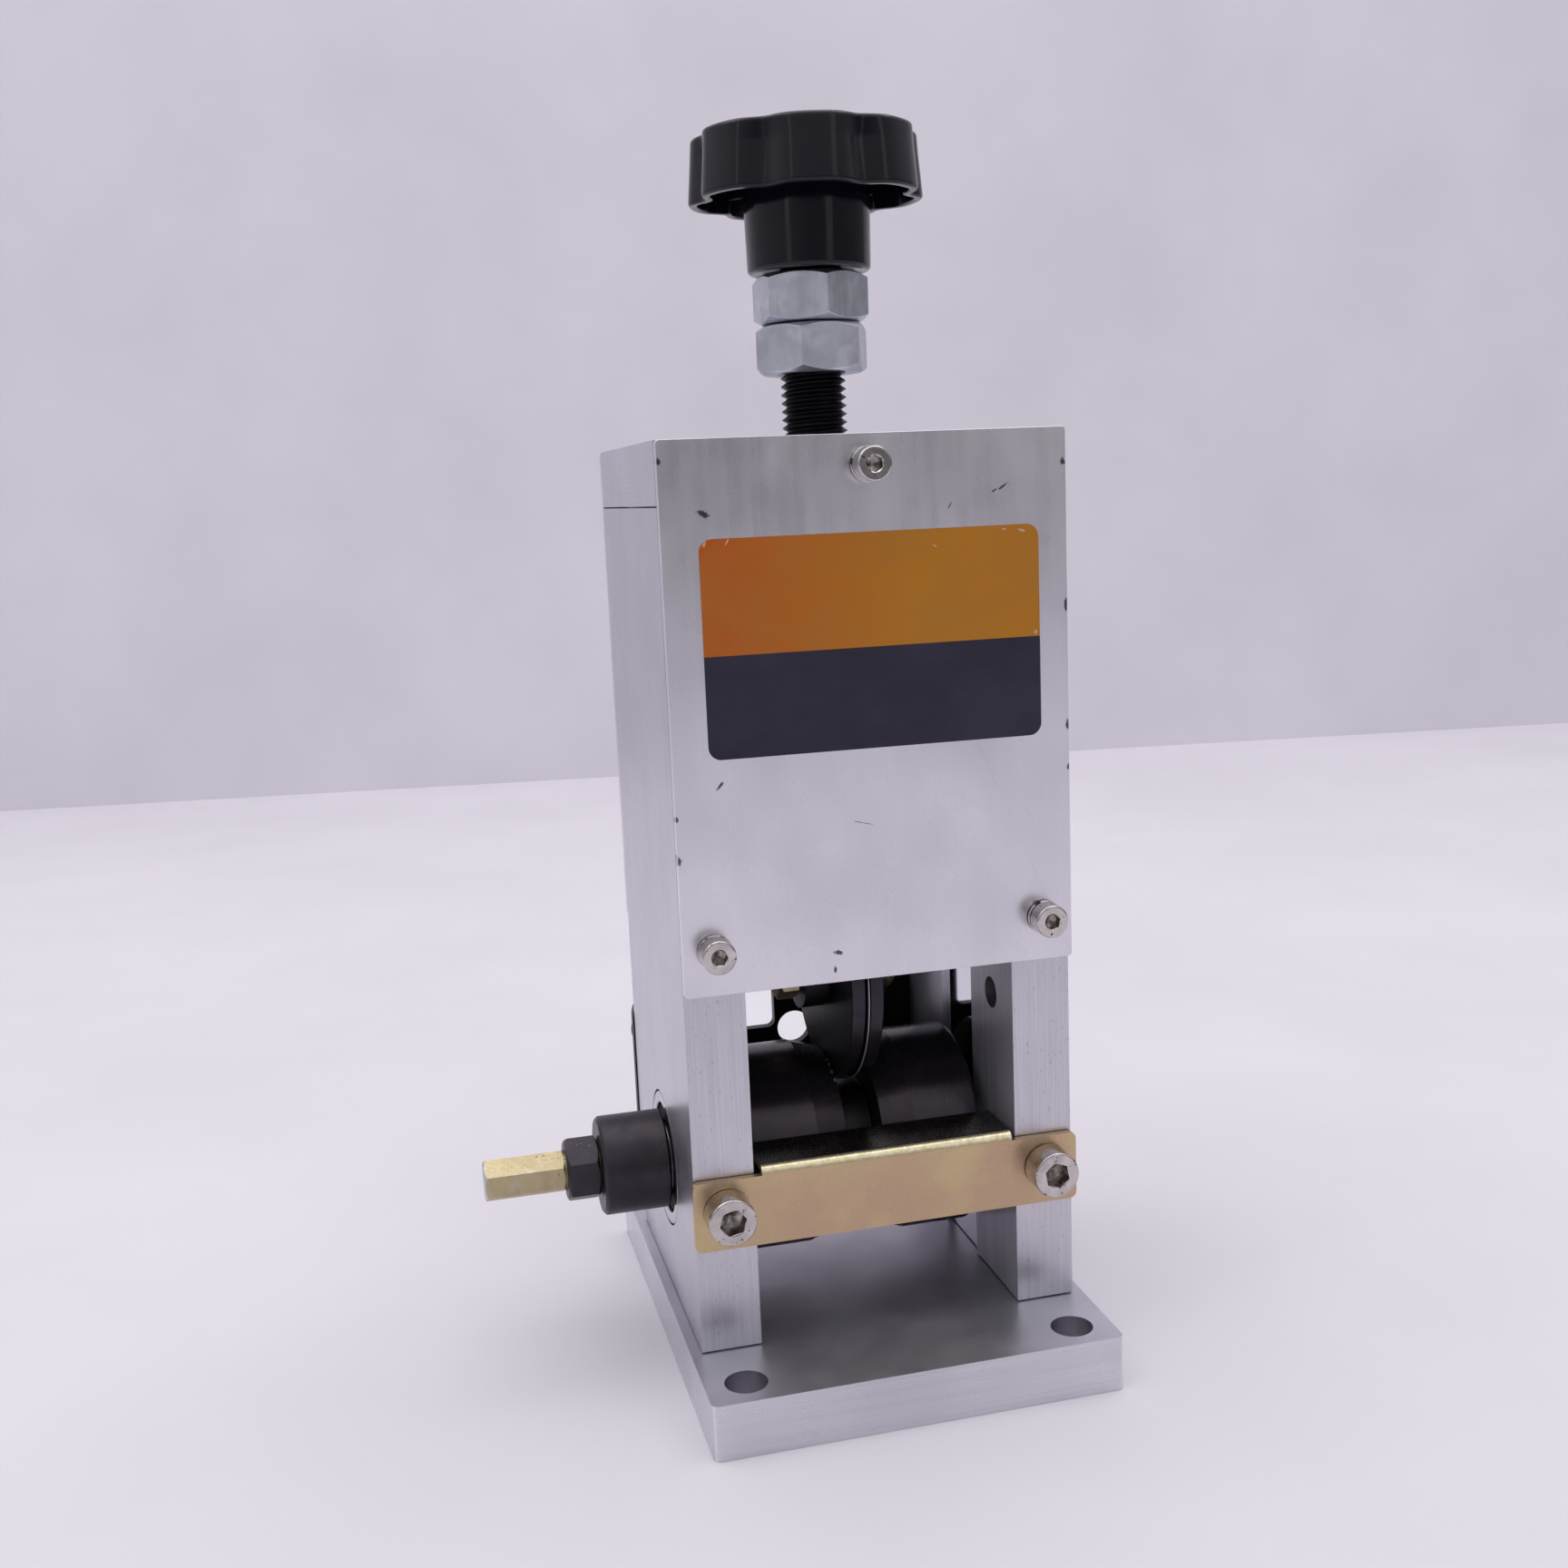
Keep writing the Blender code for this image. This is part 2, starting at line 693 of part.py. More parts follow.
def make_covers():
    """Front and rear cover sheets, each on three screws with lock washers."""
    middle_z = (cover_bottom + body_height) / 2
    hole = small_screw_diameter + 2 * fit_gap
    for side, sign, along in (("front", -1, "-y"), ("rear", 1, "+y")):
        outline = rectangle(body_width, body_height - cover_bottom, cover_corner_radius)
        mesh = prism(outline, 0, cover_thickness)
        place = (0, sign * cover_back, middle_z)
        cover = make_piece(f"{side}_cover", mesh, "milled_aluminium", place, along)
        inward = "+y" if sign < 0 else "-y"
        tools = []
        for name, x, z in cover_screw_places():
            face = (x, sign * cover_front, z)
            tools.append(bore(hole, cover_thickness + cut_overrun, face, inward))
            washer_y = cover_front + fit_gap
            seat_y = washer_y + washer_thickness + fit_gap
            make_lock_washer(f"{side}_{name}_lock_washer", (x, sign * washer_y, z), along)
            make_small_screw(f"{side}_{name}_cover_screw", (x, sign * seat_y, z), along)
        cut(cover, tools)


def bracket_section(front):
    """The bend and lip of the guard in (y, z), from the wing's front edge round to its back."""
    outer = bracket_bend_radius + bracket_sheet
    centre_y = front + outer
    lip_end = -roller_diameter / 2 - lip_roller_clearance
    arc = []
    for step in range(corner_steps + 1):
        angle = math.pi - math.pi / 2 * step / corner_steps
        arc.append((math.cos(angle), math.sin(angle)))
    points = [(centre_y + outer * c, bracket_wing_top + outer * s) for c, s in arc]
    points.append((lip_end, bracket_wing_top + outer))
    points.append((lip_end, bracket_wing_top + bracket_bend_radius))
    inner = [(centre_y + bracket_bend_radius * c, bracket_wing_top + bracket_bend_radius * s) for c, s in arc]
    return points + inner[::-1]


def make_front_bracket():
    """The bent guard across the front: a flat strip with a lip turned in above the roller."""
    back = front_face - fit_gap
    front = back - bracket_sheet
    section = bracket_section(front)
    half_width = body_width / 2 + bracket_overhang
    shape = bmesh.new()
    loops = [[shape.verts.new((x, y, z)) for y, z in section] for x in (-half_lip, half_lip)]
    for index in range(len(section) - 1):
        shape.faces.new((loops[0][index], loops[1][index], loops[1][index + 1], loops[0][index + 1]))
    for loop in loops:
        shape.faces.new(loop)
    radius = bracket_corner_radius
    outline = rounded([
        (-half_width, bracket_bottom, radius), (half_width, bracket_bottom, radius),
        (half_width, bracket_wing_top, radius), (half_lip, bracket_wing_top, 0),
        (-half_lip, bracket_wing_top, 0), (-half_width, bracket_wing_top, radius),
    ])
    faces = [[shape.verts.new((x, y, z)) for x, z in outline] for y in (front, back)]
    for face in faces:
        shape.faces.new(face)
    for index in range(len(outline)):
        after = (index + 1) % len(outline)
        on_tab = all(
            abs(outline[k][0]) < half_lip + merge_distance and outline[k][1] == bracket_wing_top
            for k in (index, after)
        )
        if not on_tab:
            shape.faces.new((faces[0][index], faces[0][after], faces[1][after], faces[1][index]))
    bmesh.ops.remove_doubles(shape, verts=shape.verts, dist=merge_distance)
    bracket = make_piece("front_bracket", mesh_of(shape), "yellow_zinc")
    hole = large_screw_diameter + 2 * fit_gap
    tools = []
    for side, x in (("left", -cover_screw_x), ("right", cover_screw_x)):
        place = (x, front, bracket_screw_height)
        tools.append(bore(hole, bracket_sheet + cut_overrun, place, "+y"))
        seat = (x, front - fit_gap, bracket_screw_height)
        make_large_screw(f"bracket_screw_{side}", seat, "-y", length=bracket_screw_length)
    cut(bracket, tools)


def make_wire_guide():
    """The rear plate that steers the cable in: one round hole and two open notches."""
    half = body_width / 2 + guide_overhang
    right = [
        (half, guide_bottom, notch_radius), (half, guide_top, guide_outer_radius),
        (notch_outer_x, guide_top, 0), (notch_outer_x, notch_floor, notch_radius),
        (notch_inner_x, notch_floor, notch_radius), (notch_inner_x, guide_top, 0),
    ]
    left = [(-x, z, radius) for x, z, radius in reversed(right)]
    outline = [(x, -z) for x, z in rounded(right + left)]
    place = (0, rear_face + fit_gap, 0)
    plate = make_piece("wire_guide_plate", prism(outline, 0, guide_sheet), "black_oxide", place, "+y")
    outer_face = rear_face + fit_gap + guide_sheet
    depth = guide_sheet + cut_overrun
    wire_place = (-wire_hole_offset, outer_face, wire_hole_height)
    tools = [bore(wire_hole_diameter, depth, wire_place, "-y", bore_facets)]
    hole = button_screw_diameter + 2 * fit_gap
    screw_x = body_width / 2 - guide_screw_side_inset
    profile = button_profile(
        button_screw_diameter, button_screw_length, button_head_diameter, button_head_height,
    )
    for side, x in (("left", -screw_x), ("right", screw_x)):
        tools.append(bore(hole, depth, (x, outer_face, guide_screw_height), "-y"))
        seat = (x, outer_face + fit_gap, guide_screw_height)
        socket_depth = button_head_height * socket_depth_share
        make_screw(
            f"guide_screw_{side}", profile, button_socket_width, socket_depth,
            "black_oxide", seat, "+y",
        )
    cut(plate, tools)


def ring_profile(inner, outer, low, high, low_chamfer=0.0, high_chamfer=0.0):
    """The closed section of a plain ring, as radii and heights, with chamfers on its outer edges."""
    points = [(inner, low), (outer - low_chamfer, low)]
    if low_chamfer:
        points.append((outer, low + low_chamfer))
    points.append((outer, high - high_chamfer))
    if high_chamfer:
        points.append((outer - high_chamfer, high))
    return points + [(inner, high)]


def make_bearings(axis):
    """A sealed ball bearing in each side plate: fixed outer ring and seal, turning inner ring."""
    outer = bearing_diameter / 2
    inner = shaft_diameter / 2 + fit_gap
    race_outer = outer - bearing_ring_wall
    race_inner = inner + bearing_ring_wall
    seal_low = bearing_seal_recess
    seal_high = bearing_width - bearing_seal_recess
    for side, x, along in (("left", -body_width / 2, "+x"), ("right", body_width / 2, "-x")):
        place = (x, 0, shaft_height)
        mesh = turned(ring_profile(race_outer, outer, 0, bearing_width, edge_break), ring_facets, True)
        make_piece(f"{side}_bearing_outer_ring", mesh, "bearing_steel", place, along)
        mesh = turned(
            ring_profile(race_inner + fit_gap, race_outer - fit_gap, seal_low, seal_high),
            bore_facets, True,
        )
        make_piece(f"{side}_bearing_seal", mesh, "black_rubber", place, along)
        mesh = turned(ring_profile(inner, race_inner, 0, bearing_width), bore_facets, True)
        make_piece(f"{side}_bearing_inner_ring", mesh, "bearing_steel", place, along, parent=axis)


def make_roller(axis):
    """The drive roller: a drum with a tapered groove round its middle and rounded rims."""
    radius = roller_diameter / 2
    root = radius - groove_depth
    bore_radius = shaft_middle_diameter / 2 + fit_gap
    edge = roller_edge_radius
    right = [
        (root, groove_root_width / 2),
        (radius - edge, groove_width / 2 - edge / 2),
        (radius, groove_width / 2 + edge / 2),
        (radius, roller_end - edge),
        (radius - edge, roller_end),
        (bore_radius, roller_end),
    ]
    left = [(r, -x) for r, x in reversed(right)]
    place = (0, 0, shaft_height)
    mesh = turned(left + right, wheel_facets, True)
    roller = make_piece("drive_roller", mesh, "black_oxide", place, "+x", parent=axis)
    hole_start = shaft_middle_diameter / 2
    hole = prism(circle(set_screw_diameter / 2 + fit_gap, hole_facets), hole_start, radius + cut_overrun)
    place = (set_screw_offset, 0, shaft_height)
    cut(roller, [placed(hole, place, "set_screw")])
    low = hole_start + fit_gap
    screw = prism(circle(set_screw_diameter / 2, hole_facets), low, low + set_screw_length)
    grub = make_piece("roller_set_screw", screw, "black_oxide", place, "set_screw", parent=axis)
    socket_low = low + set_screw_length * (1 - socket_depth_share)
    socket = prism(hexagon(set_screw_socket), socket_low, low + set_screw_length + cut_overrun)
    follow(shape_with(grub, [socket], "DIFFERENCE"), grub)


def make_shaft(axis):
    """The stepped drive shaft and the spacers that hold the roller between the bearings."""
    thin = shaft_diameter / 2
    thick = shaft_middle_diameter / 2
    left_end = -body_width / 2 - fit_gap - shaft_reach_left
    right_end = body_width / 2 - edge_break
    profile = [
        (0, left_end), (thin, left_end),
        (thin, -roller_end), (thick, -roller_end), (thick, roller_end), (thin, roller_end),
        (thin, right_end - edge_break), (thin - edge_break, right_end), (0, right_end),
    ]
    place = (0, 0, shaft_height)
    make_piece("drive_shaft", turned(profile, bore_facets), "bearing_steel", place, "+x", parent=axis)
    low = roller_end + fit_gap
    high = bearing_inner_end - fit_gap
    section = ring_profile(thin + fit_gap, spacer_diameter / 2, low, high)
    for side, along in (("left", "-x"), ("right", "+x")):
        mesh = turned(section, bore_facets, True)
        make_piece(f"{side}_roller_spacer", mesh, "bearing_steel", place, along, parent=axis)


def make_drive_stub(axis):
    """Coupling sleeve, lock nut and hex adapter, stacked outward from the left bearing."""
    start = body_width / 2 + fit_gap
    end = start + sleeve_length
    radius = sleeve_diameter / 2
    shaft_bore = shaft_diameter / 2 + fit_gap
    stud_bore = stud_diameter / 2 + fit_gap
    step = start + sleeve_shaft_depth + fit_gap
    section = [
        (shaft_bore, start), (radius, start),
        (radius, end - sleeve_chamfer), (radius - sleeve_chamfer, end),
        (stud_bore, end), (stud_bore, step), (shaft_bore, step),
    ]
    place = (0, 0, shaft_height)
    mesh = turned(section, ring_facets, True)
    make_piece("coupling_sleeve", mesh, "black_oxide", place, "-x", parent=axis)
    nut_start = end + fit_gap
    make_nut(
        "adapter_lock_nut", lock_nut_width, lock_nut_height, 2 * stud_bore, "black_oxide",
        (-nut_start, 0, shaft_height), "-x", stub_turn(), axis,
    )
    hex_start = nut_start + lock_nut_height + fit_gap
    hex_end = hex_start + hex_adapter_length
    stud = stud_diameter / 2
    reach = hex_adapter_width / math.sqrt(3) + joint_overlap
    face = hex_adapter_width / 2 - edge_break
    rise = hex_adapter_chamfer
    profile = [
        (0, end - stud_depth), (stud, end - stud_depth), (stud, hex_start), (face, hex_start),
        (reach, hex_start + rise), (reach, hex_end - rise), (face, hex_end), (0, hex_end),
    ]
    hex_body("hex_adapter", profile, hex_adapter_width, "yellow_zinc", place, "-x", stub_turn(), axis)


def stub_turn():
    """Turns a hexagon on the drive line so that one corner looks forward and up."""
    return math.pi / 2 + stub_corner_angle


def make_carriage(axis):
    """The sliding block with its fork, cut for the axle, the rod's end and the retainer."""
    outline = rectangle(carriage_width, carriage_depth)
    mesh = prism(outline, carriage_bottom, carriage_top)
    carriage = make_piece("cutter_carriage", mesh, "black_oxide", parent=axis)
    arms = []
    radius = fork_arm_width / 2
    arm_top = carriage_bottom + joint_overlap
    steps = bore_facets // 2
    arm = [(radius, arm_top), (-radius, arm_top)]
    for step in range(steps + 1):
        angle = math.pi + math.pi * step / steps
        arm.append((radius * math.cos(angle), axle_height + radius * math.sin(angle)))
    upright = Matrix.Rotation(math.pi / 2, 4, "Z") @ Matrix.Rotation(math.pi / 2, 4, "X")
    for low, high in ((-fork_outer_x, -fork_inner_x), (fork_inner_x, fork_outer_x)):
        mesh = prism(arm, low, high)
        mesh.transform(upright)
        arms.append(mesh)
    shape_with(carriage, arms, "UNION")
    axle_bore = axle_diameter + 2 * fit_gap
    length = 2 * fork_outer_x + cut_overrun
    tools = [bore(axle_bore, length, (-fork_outer_x, 0, axle_height), "+x", bore_facets)]
    pocket = rod_button_diameter + 2 * fit_gap
    tools.append(bore(pocket, rod_button_height + 2 * fit_gap, (0, 0, carriage_top), "-z", bore_facets))
    small = small_screw_diameter + 2 * fit_gap
    for x in (-retainer_screw_offset, retainer_screw_offset):
        tools.append(bore(small, retainer_screw_length, (x, 0, carriage_top), "-z"))
    cut(carriage, tools)


def make_retainer(axis):
    """The slotted plate that traps the rod's neck on top of the carriage, and its screws."""
    half_x = retainer_width / 2
    half_y = carriage_depth / 2
    slot = rod_neck_diameter / 2 + fit_gap
    corner = retainer_corner_radius
    outline = rounded([
        (-half_x, -half_y, corner), (half_x, -half_y, corner),
        (half_x, half_y, corner), (slot, half_y, 0),
    ])
    steps = bore_facets // 2
    for step in range(steps + 1):
        angle = -math.pi * step / steps
        outline.append((slot * math.cos(angle), slot * math.sin(angle)))
    outline += rounded([(-slot, half_y, 0), (-half_x, half_y, corner), (-half_x, -half_y, 0)])[:-1]
    mesh = prism(outline, 0, retainer_thickness)
    place = (0, 0, retainer_bottom)
    plate = make_piece("rod_retainer", mesh, "bright_zinc", place, parent=axis)
    hole = small_screw_diameter + 2 * fit_gap
    profile = button_profile(
        small_screw_diameter, retainer_screw_length, small_head_diameter, retainer_head_height,
    )
    tools = []
    for side, x in (("left", -retainer_screw_offset), ("right", retainer_screw_offset)):
        tools.append(bore(hole, retainer_thickness + cut_overrun, (x, 0, retainer_top), "-z"))
        depth = retainer_head_height * socket_depth_share
        seat = (x, 0, retainer_top + fit_gap)
        make_screw(
            f"retainer_screw_{side}", profile, small_socket_width, depth,
            "nickel", seat, "+z", axis,
        )
    cut(plate, tools)


def make_axle(axis):
    """The axle bolt through the fork, with its nut on the left."""
    seat = fork_outer_x + fit_gap
    nut_end = seat + axle_nut_height
    length = seat + nut_end + axle_tip
    profile = button_profile(axle_diameter, length, axle_head_diameter, axle_head_height)
    depth = axle_head_height * socket_depth_share
    make_screw(
        "axle_bolt", profile, axle_socket_width, depth, "yellow_zinc",
        (seat, 0, axle_height), "+x", axis,
    )
    make_nut(
        "axle_nut", axle_nut_width, axle_nut_height, axle_diameter + 2 * fit_gap, "yellow_zinc",
        (-seat, 0, axle_height), "-x", 0.0, axis,
    )


def make_cutter(axis):
    """The cutter wheel: a thin bevelled blade clamped between two flanges on a bronze bush."""
    place = (0, 0, axle_height)
    hub = bush_diameter / 2 + fit_gap
    edge = blade_diameter / 2
    half = blade_thickness / 2
    section = [
        (hub, -half), (edge - blade_bevel, -half), (edge, 0),
        (edge - blade_bevel, half), (hub, half),
    ]
    mesh = turned(section, wheel_facets, True)
    make_piece("cutter_blade", mesh, "tool_steel", place, "+x", parent=axis)
    low = half + fit_gap
    high = low + flange_thickness
    section = ring_profile(hub, flange_diameter / 2, low, high, 0, flange_chamfer)
    for side, along in (("left", "-x"), ("right", "+x")):
        mesh = turned(section, wheel_facets, True)
        make_piece(f"{side}_blade_flange", mesh, "black_oxide", place, along, parent=axis)
    reach = fork_inner_x - fit_gap
    section = ring_profile(axle_diameter / 2 + fit_gap, bush_diameter / 2, -reach, reach)
    mesh = turned(section, bore_facets, True)
    make_piece("cutter_bush", mesh, "bronze", place, "+x", parent=axis)


def make_rod(axis):
    """The threaded rod: full diameter above, a neck through the retainer and a button below."""
    radius = rod_diameter / 2
    neck = rod_neck_diameter / 2
    button = rod_button_diameter / 2
    button_top = carriage_top - fit_gap
    button_low = button_top - rod_button_height
    profile = [
        (0, rod_top), (radius - rod_chamfer, rod_top), (radius, rod_top - rod_chamfer),
        (radius, rod_shoulder), (neck, rod_shoulder), (neck, button_top), (button, button_top),
        (button, button_low), (0, button_low),
    ]
    profile = [(r, z - rod_shoulder) for r, z in profile]
    mesh = turned(profile, bore_facets)
    make_piece("threaded_rod", mesh, "black_oxide", (0, 0, rod_shoulder), parent=axis)
    bore_diameter = rod_diameter + 2 * fit_gap
    nuts = (
        ("stop_nut", stop_nut_bottom, stop_nut_turn),
        ("knob_lock_nut", knob_lock_nut_bottom, knob_lock_nut_turn),
    )
    for name, bottom, turn in nuts:
        place = (0, 0, bottom)
        make_nut(name, rod_nut_width, rod_nut_height, bore_diameter, "bright_zinc", place, "+z", turn, axis)


def lobed_ring(shape, inset, height):
    """One ring of the knob's outline, moved in by an inset."""
    count = knob_lobes * knob_facets_per_lobe
    ring = []
    for step in range(count):
        angle = 2 * math.pi * step / count
        groove = (0.5 + 0.5 * math.cos(knob_lobes * angle)) ** knob_groove_power
        radius = knob_diameter / 2 - knob_groove_depth * groove - inset
        ring.append(shape.verts.new((radius * math.cos(angle), radius * math.sin(angle), height)))
    return ring


def round_ring(shape, radius, height):
    """A plain ring with as many points as the knob's outline."""
    count = knob_lobes * knob_facets_per_lobe
    return [shape.verts.new((x, y, height)) for x, y in circle(radius, count)]


def knob_shell():
    """The moulded knob without its ribs: domed crown, drafted rim, hollow underside and hub."""
    shape = bmesh.new()
    top = knob_rim_height + knob_rim_above_hub
    edge = knob_edge_radius
    lean = math.tan(knob_draft)
    ceiling = top - knob_crown
    hub = knob_hub_diameter / 2
    hub_lean = math.tan(knob_hub_draft)
    bore_radius = rod_diameter / 2 + fit_gap
    bore_top = rod_top - knob_hub_bottom + fit_gap
    rim = knob_rim_above_hub
    side_top = top - edge
    top_inset = lean * (side_top - rim)
    crown = shape.verts.new((0, 0, top + knob_dome_rise))
    share = knob_dome_ring_share
    rings = [round_ring(shape, knob_diameter / 2 * share, top + knob_dome_rise * (1 - share ** 2))]
    for step in (2, 1, 0):
        angle = math.pi / 4 * step
        inset = top_inset + edge * (1 - math.cos(angle))
        rings.append(lobed_ring(shape, inset, side_top + edge * math.sin(angle)))
    rings.append(lobed_ring(shape, 0, rim + edge_break))
    rings.append(lobed_ring(shape, edge_break, rim))
    rings.append(lobed_ring(shape, knob_wall, rim))
    rings.append(lobed_ring(shape, knob_wall + top_inset, ceiling))
    rings.append(round_ring(shape, hub + hub_lean * ceiling, ceiling))
    rings.append(round_ring(shape, hub, knob_hub_edge))
    rings.append(round_ring(shape, hub - knob_hub_edge, 0))
    rings.append(round_ring(shape, bore_radius, 0))
    rings.append(round_ring(shape, bore_radius, bore_top))
    count = len(rings[0])
    for above, below in zip(rings, rings[1:]):
        for step in range(count):
            after = (step + 1) % count
            shape.faces.new((above[step], above[after], below[after], below[step]))
    for step in range(count):
        shape.faces.new((crown, rings[0][step], rings[0][(step + 1) % count]))
    shape.faces.new(rings[-1])
    return mesh_of(shape)


def make_knob(axis):
    """The star knob: a shell of seven lobes, stiffened by a rib from the hub to each groove."""
    place = (0, 0, knob_hub_bottom)
    knob = make_piece("star_knob", knob_shell(), "black_plastic", place, "+z", knob_groove_angle, axis)
    ceiling = knob_rim_height + knob_rim_above_hub - knob_crown
    inner = knob_hub_diameter / 2 - joint_overlap
    outer = knob_diameter / 2 - knob_groove_depth - knob_wall + joint_overlap
    half = knob_rib_thickness / 2
    ribs = []
    for lobe in range(knob_lobes):
        outline = [(inner, -half), (outer, -half), (outer, half), (inner, half)]
        rib = prism(outline, ceiling - knob_rib_height, ceiling + joint_overlap)
        rib.transform(Matrix.Rotation(2 * math.pi * lobe / knob_lobes, 4, "Z"))
        ribs.append(rib)
    follow(shape_with(knob, ribs, "UNION"), knob)


def main():
    """Builds the whole tool, fixed frame first and then each moving group."""
    clear_scene()
    make_base_plate()
    make_side_plates()
    make_top_block()
    make_frame_screws()
    make_covers()
    make_front_bracket()
    make_wire_guide()
    drive_axis = make_axis("drive_axis", (0, 0, shaft_height))
    make_bearings(drive_axis)
    make_roller(drive_axis)
    make_shaft(drive_axis)
    make_drive_stub(drive_axis)
    carriage_axis = make_axis("carriage_axis", (0, 0, carriage_bottom))
    make_carriage(carriage_axis)
    make_retainer(carriage_axis)
    make_axle(carriage_axis)
    cutter_axis = make_axis("cutter_axis", (0, 0, axle_height), carriage_axis)
    make_cutter(cutter_axis)
    screw_axis = make_axis("screw_axis", (0, 0, rod_shoulder), carriage_axis)
    make_rod(screw_axis)
    make_knob(screw_axis)


main()
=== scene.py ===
# %% [markdown]
# # Hand crank wire stripper: its looks
# The tool is a small bench machine of bare aluminium plates, black steel wheels,
# plated screws and one glossy knob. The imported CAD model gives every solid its
# place and its motion. This script keeps those places and gives each visible
# piece rounder edges, real threads and a finish that matches how it was made.

import json
import math

import bmesh
import bpy
from mathutils import Matrix, Vector


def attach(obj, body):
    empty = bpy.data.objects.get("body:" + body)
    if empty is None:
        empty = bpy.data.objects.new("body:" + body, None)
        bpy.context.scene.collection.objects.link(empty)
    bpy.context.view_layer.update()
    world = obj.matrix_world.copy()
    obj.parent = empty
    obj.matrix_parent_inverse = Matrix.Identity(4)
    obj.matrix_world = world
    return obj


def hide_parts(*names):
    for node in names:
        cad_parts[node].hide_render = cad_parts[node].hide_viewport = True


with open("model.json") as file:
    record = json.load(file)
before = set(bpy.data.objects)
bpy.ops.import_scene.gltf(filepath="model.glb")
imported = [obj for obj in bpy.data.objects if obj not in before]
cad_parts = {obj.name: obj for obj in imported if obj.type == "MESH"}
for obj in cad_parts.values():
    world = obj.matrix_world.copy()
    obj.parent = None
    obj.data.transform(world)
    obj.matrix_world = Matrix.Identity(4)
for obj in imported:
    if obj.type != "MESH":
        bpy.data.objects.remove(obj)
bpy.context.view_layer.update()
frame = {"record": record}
MM = 0.001

# %% [markdown]
# ## The camera first
# The photograph was taken from the left, a little above the middle of the tool.
# The numbers below come from fitting a pinhole camera to the block's corners,
# so every piece falls on its own pixels when the image is 1728 pixels square.

# %% Camera
IMAGE_PIXELS = 1728
FOCAL_PIXELS = 1843.03
SENSOR_MM = 36.0


def camera_basis(yaw, pitch, roll):
    """The camera's right, up and back directions for angles in degrees."""
    yaw, pitch, roll = (math.radians(angle) for angle in (yaw, pitch, roll))
    forward = Vector((math.sin(yaw) * math.cos(pitch), math.cos(yaw) * math.cos(pitch), math.sin(pitch)))
    right = forward.cross(Vector((0, 0, 1))).normalized()
    up = right.cross(forward)
    tilted_right = right * math.cos(roll) + up * math.sin(roll)
    tilted_up = up * math.cos(roll) - right * math.sin(roll)
    return tilted_right, tilted_up, -forward


lens = bpy.data.cameras.new("photo_camera")
lens.sensor_width = SENSOR_MM
lens.lens = SENSOR_MM * FOCAL_PIXELS / IMAGE_PIXELS
lens.clip_start = 0.01
camera = bpy.data.objects.new("photo_camera", lens)
bpy.context.scene.collection.objects.link(camera)
basis = Matrix(camera_basis(13.844, -9.842, -2.451)).transposed().to_4x4()
camera.matrix_world = Matrix.Translation((-98.51 * MM, -357.81 * MM, 189.69 * MM)) @ basis
bpy.context.scene.camera = camera
print("camera lens:", round(lens.lens, 2), "mm")

# %% [markdown]
# ## Small tools for materials
# A finish is a handful of nodes. One helper adds a node with its settings and
# links and hands back the output that the next node needs. Colours are written
# as sRGB hex, the way a paint chart gives them, and turned to the linear values
# that a renderer works in. Pattern sizes are in millimetres of the real tool.

# %% Material helpers


def linear(hex_code):
    """Linear RGBA from an sRGB hex colour."""
    channels = [int(hex_code[start:start + 2], 16) / 255 for start in (1, 3, 5)]
    return (*[c / 12.92 if c <= 0.04045 else ((c + 0.055) / 1.055) ** 2.4 for c in channels], 1.0)


def add(tree, kind, inputs=None, output=0, **settings):
    """Adds a node and returns one of its outputs. An input is a value, a hex colour or another output."""
    node = tree.nodes.new("ShaderNode" + kind)
    for name, value in settings.items():
        setattr(node, name, value)
    for name, value in (inputs or {}).items():
        if isinstance(value, bpy.types.NodeSocket):
            tree.links.new(value, node.inputs[name])
        else:
            node.inputs[name].default_value = linear(value) if isinstance(value, str) else value
    return node.outputs[output]


def start_material(name, **sockets):
    """A new material with its Principled shader set directly from socket names."""
    material = bpy.data.materials.new(name)
    material.use_nodes = True
    tree = material.node_tree
    shader = tree.nodes["Principled BSDF"]
    for socket, value in sockets.items():
        shader.inputs[socket.replace("_", " ")].default_value = value
    return material, tree, shader


def finish_material(tree, shader, colour, roughness, height, depth_mm):
    """Links the colour, the roughness and a relief of the given depth to the shader."""
    normal = add(tree, "Bump", {"Height": height, "Distance": depth_mm * MM})
    for socket, value in (("Base Color", colour), ("Roughness", roughness), ("Normal", normal)):
        tree.links.new(value, shader.inputs[socket])


def grain(tree, size_mm, detail=3.0, shift=0.0):
    """A noise value whose cells measure size_mm along X, Y and Z of the tool."""
    spot = add(tree, "TexCoord", output="Object")
    scale = tuple(1 / (size * MM) for size in size_mm)
    inputs = {0: spot, 1: scale, 2: (shift, shift, shift)}
    stretched = add(tree, "VectorMath", inputs, operation="MULTIPLY_ADD")
    return add(tree, "TexNoise", {"Vector": stretched, "Scale": 1.0, "Detail": detail, "Roughness": 0.6})


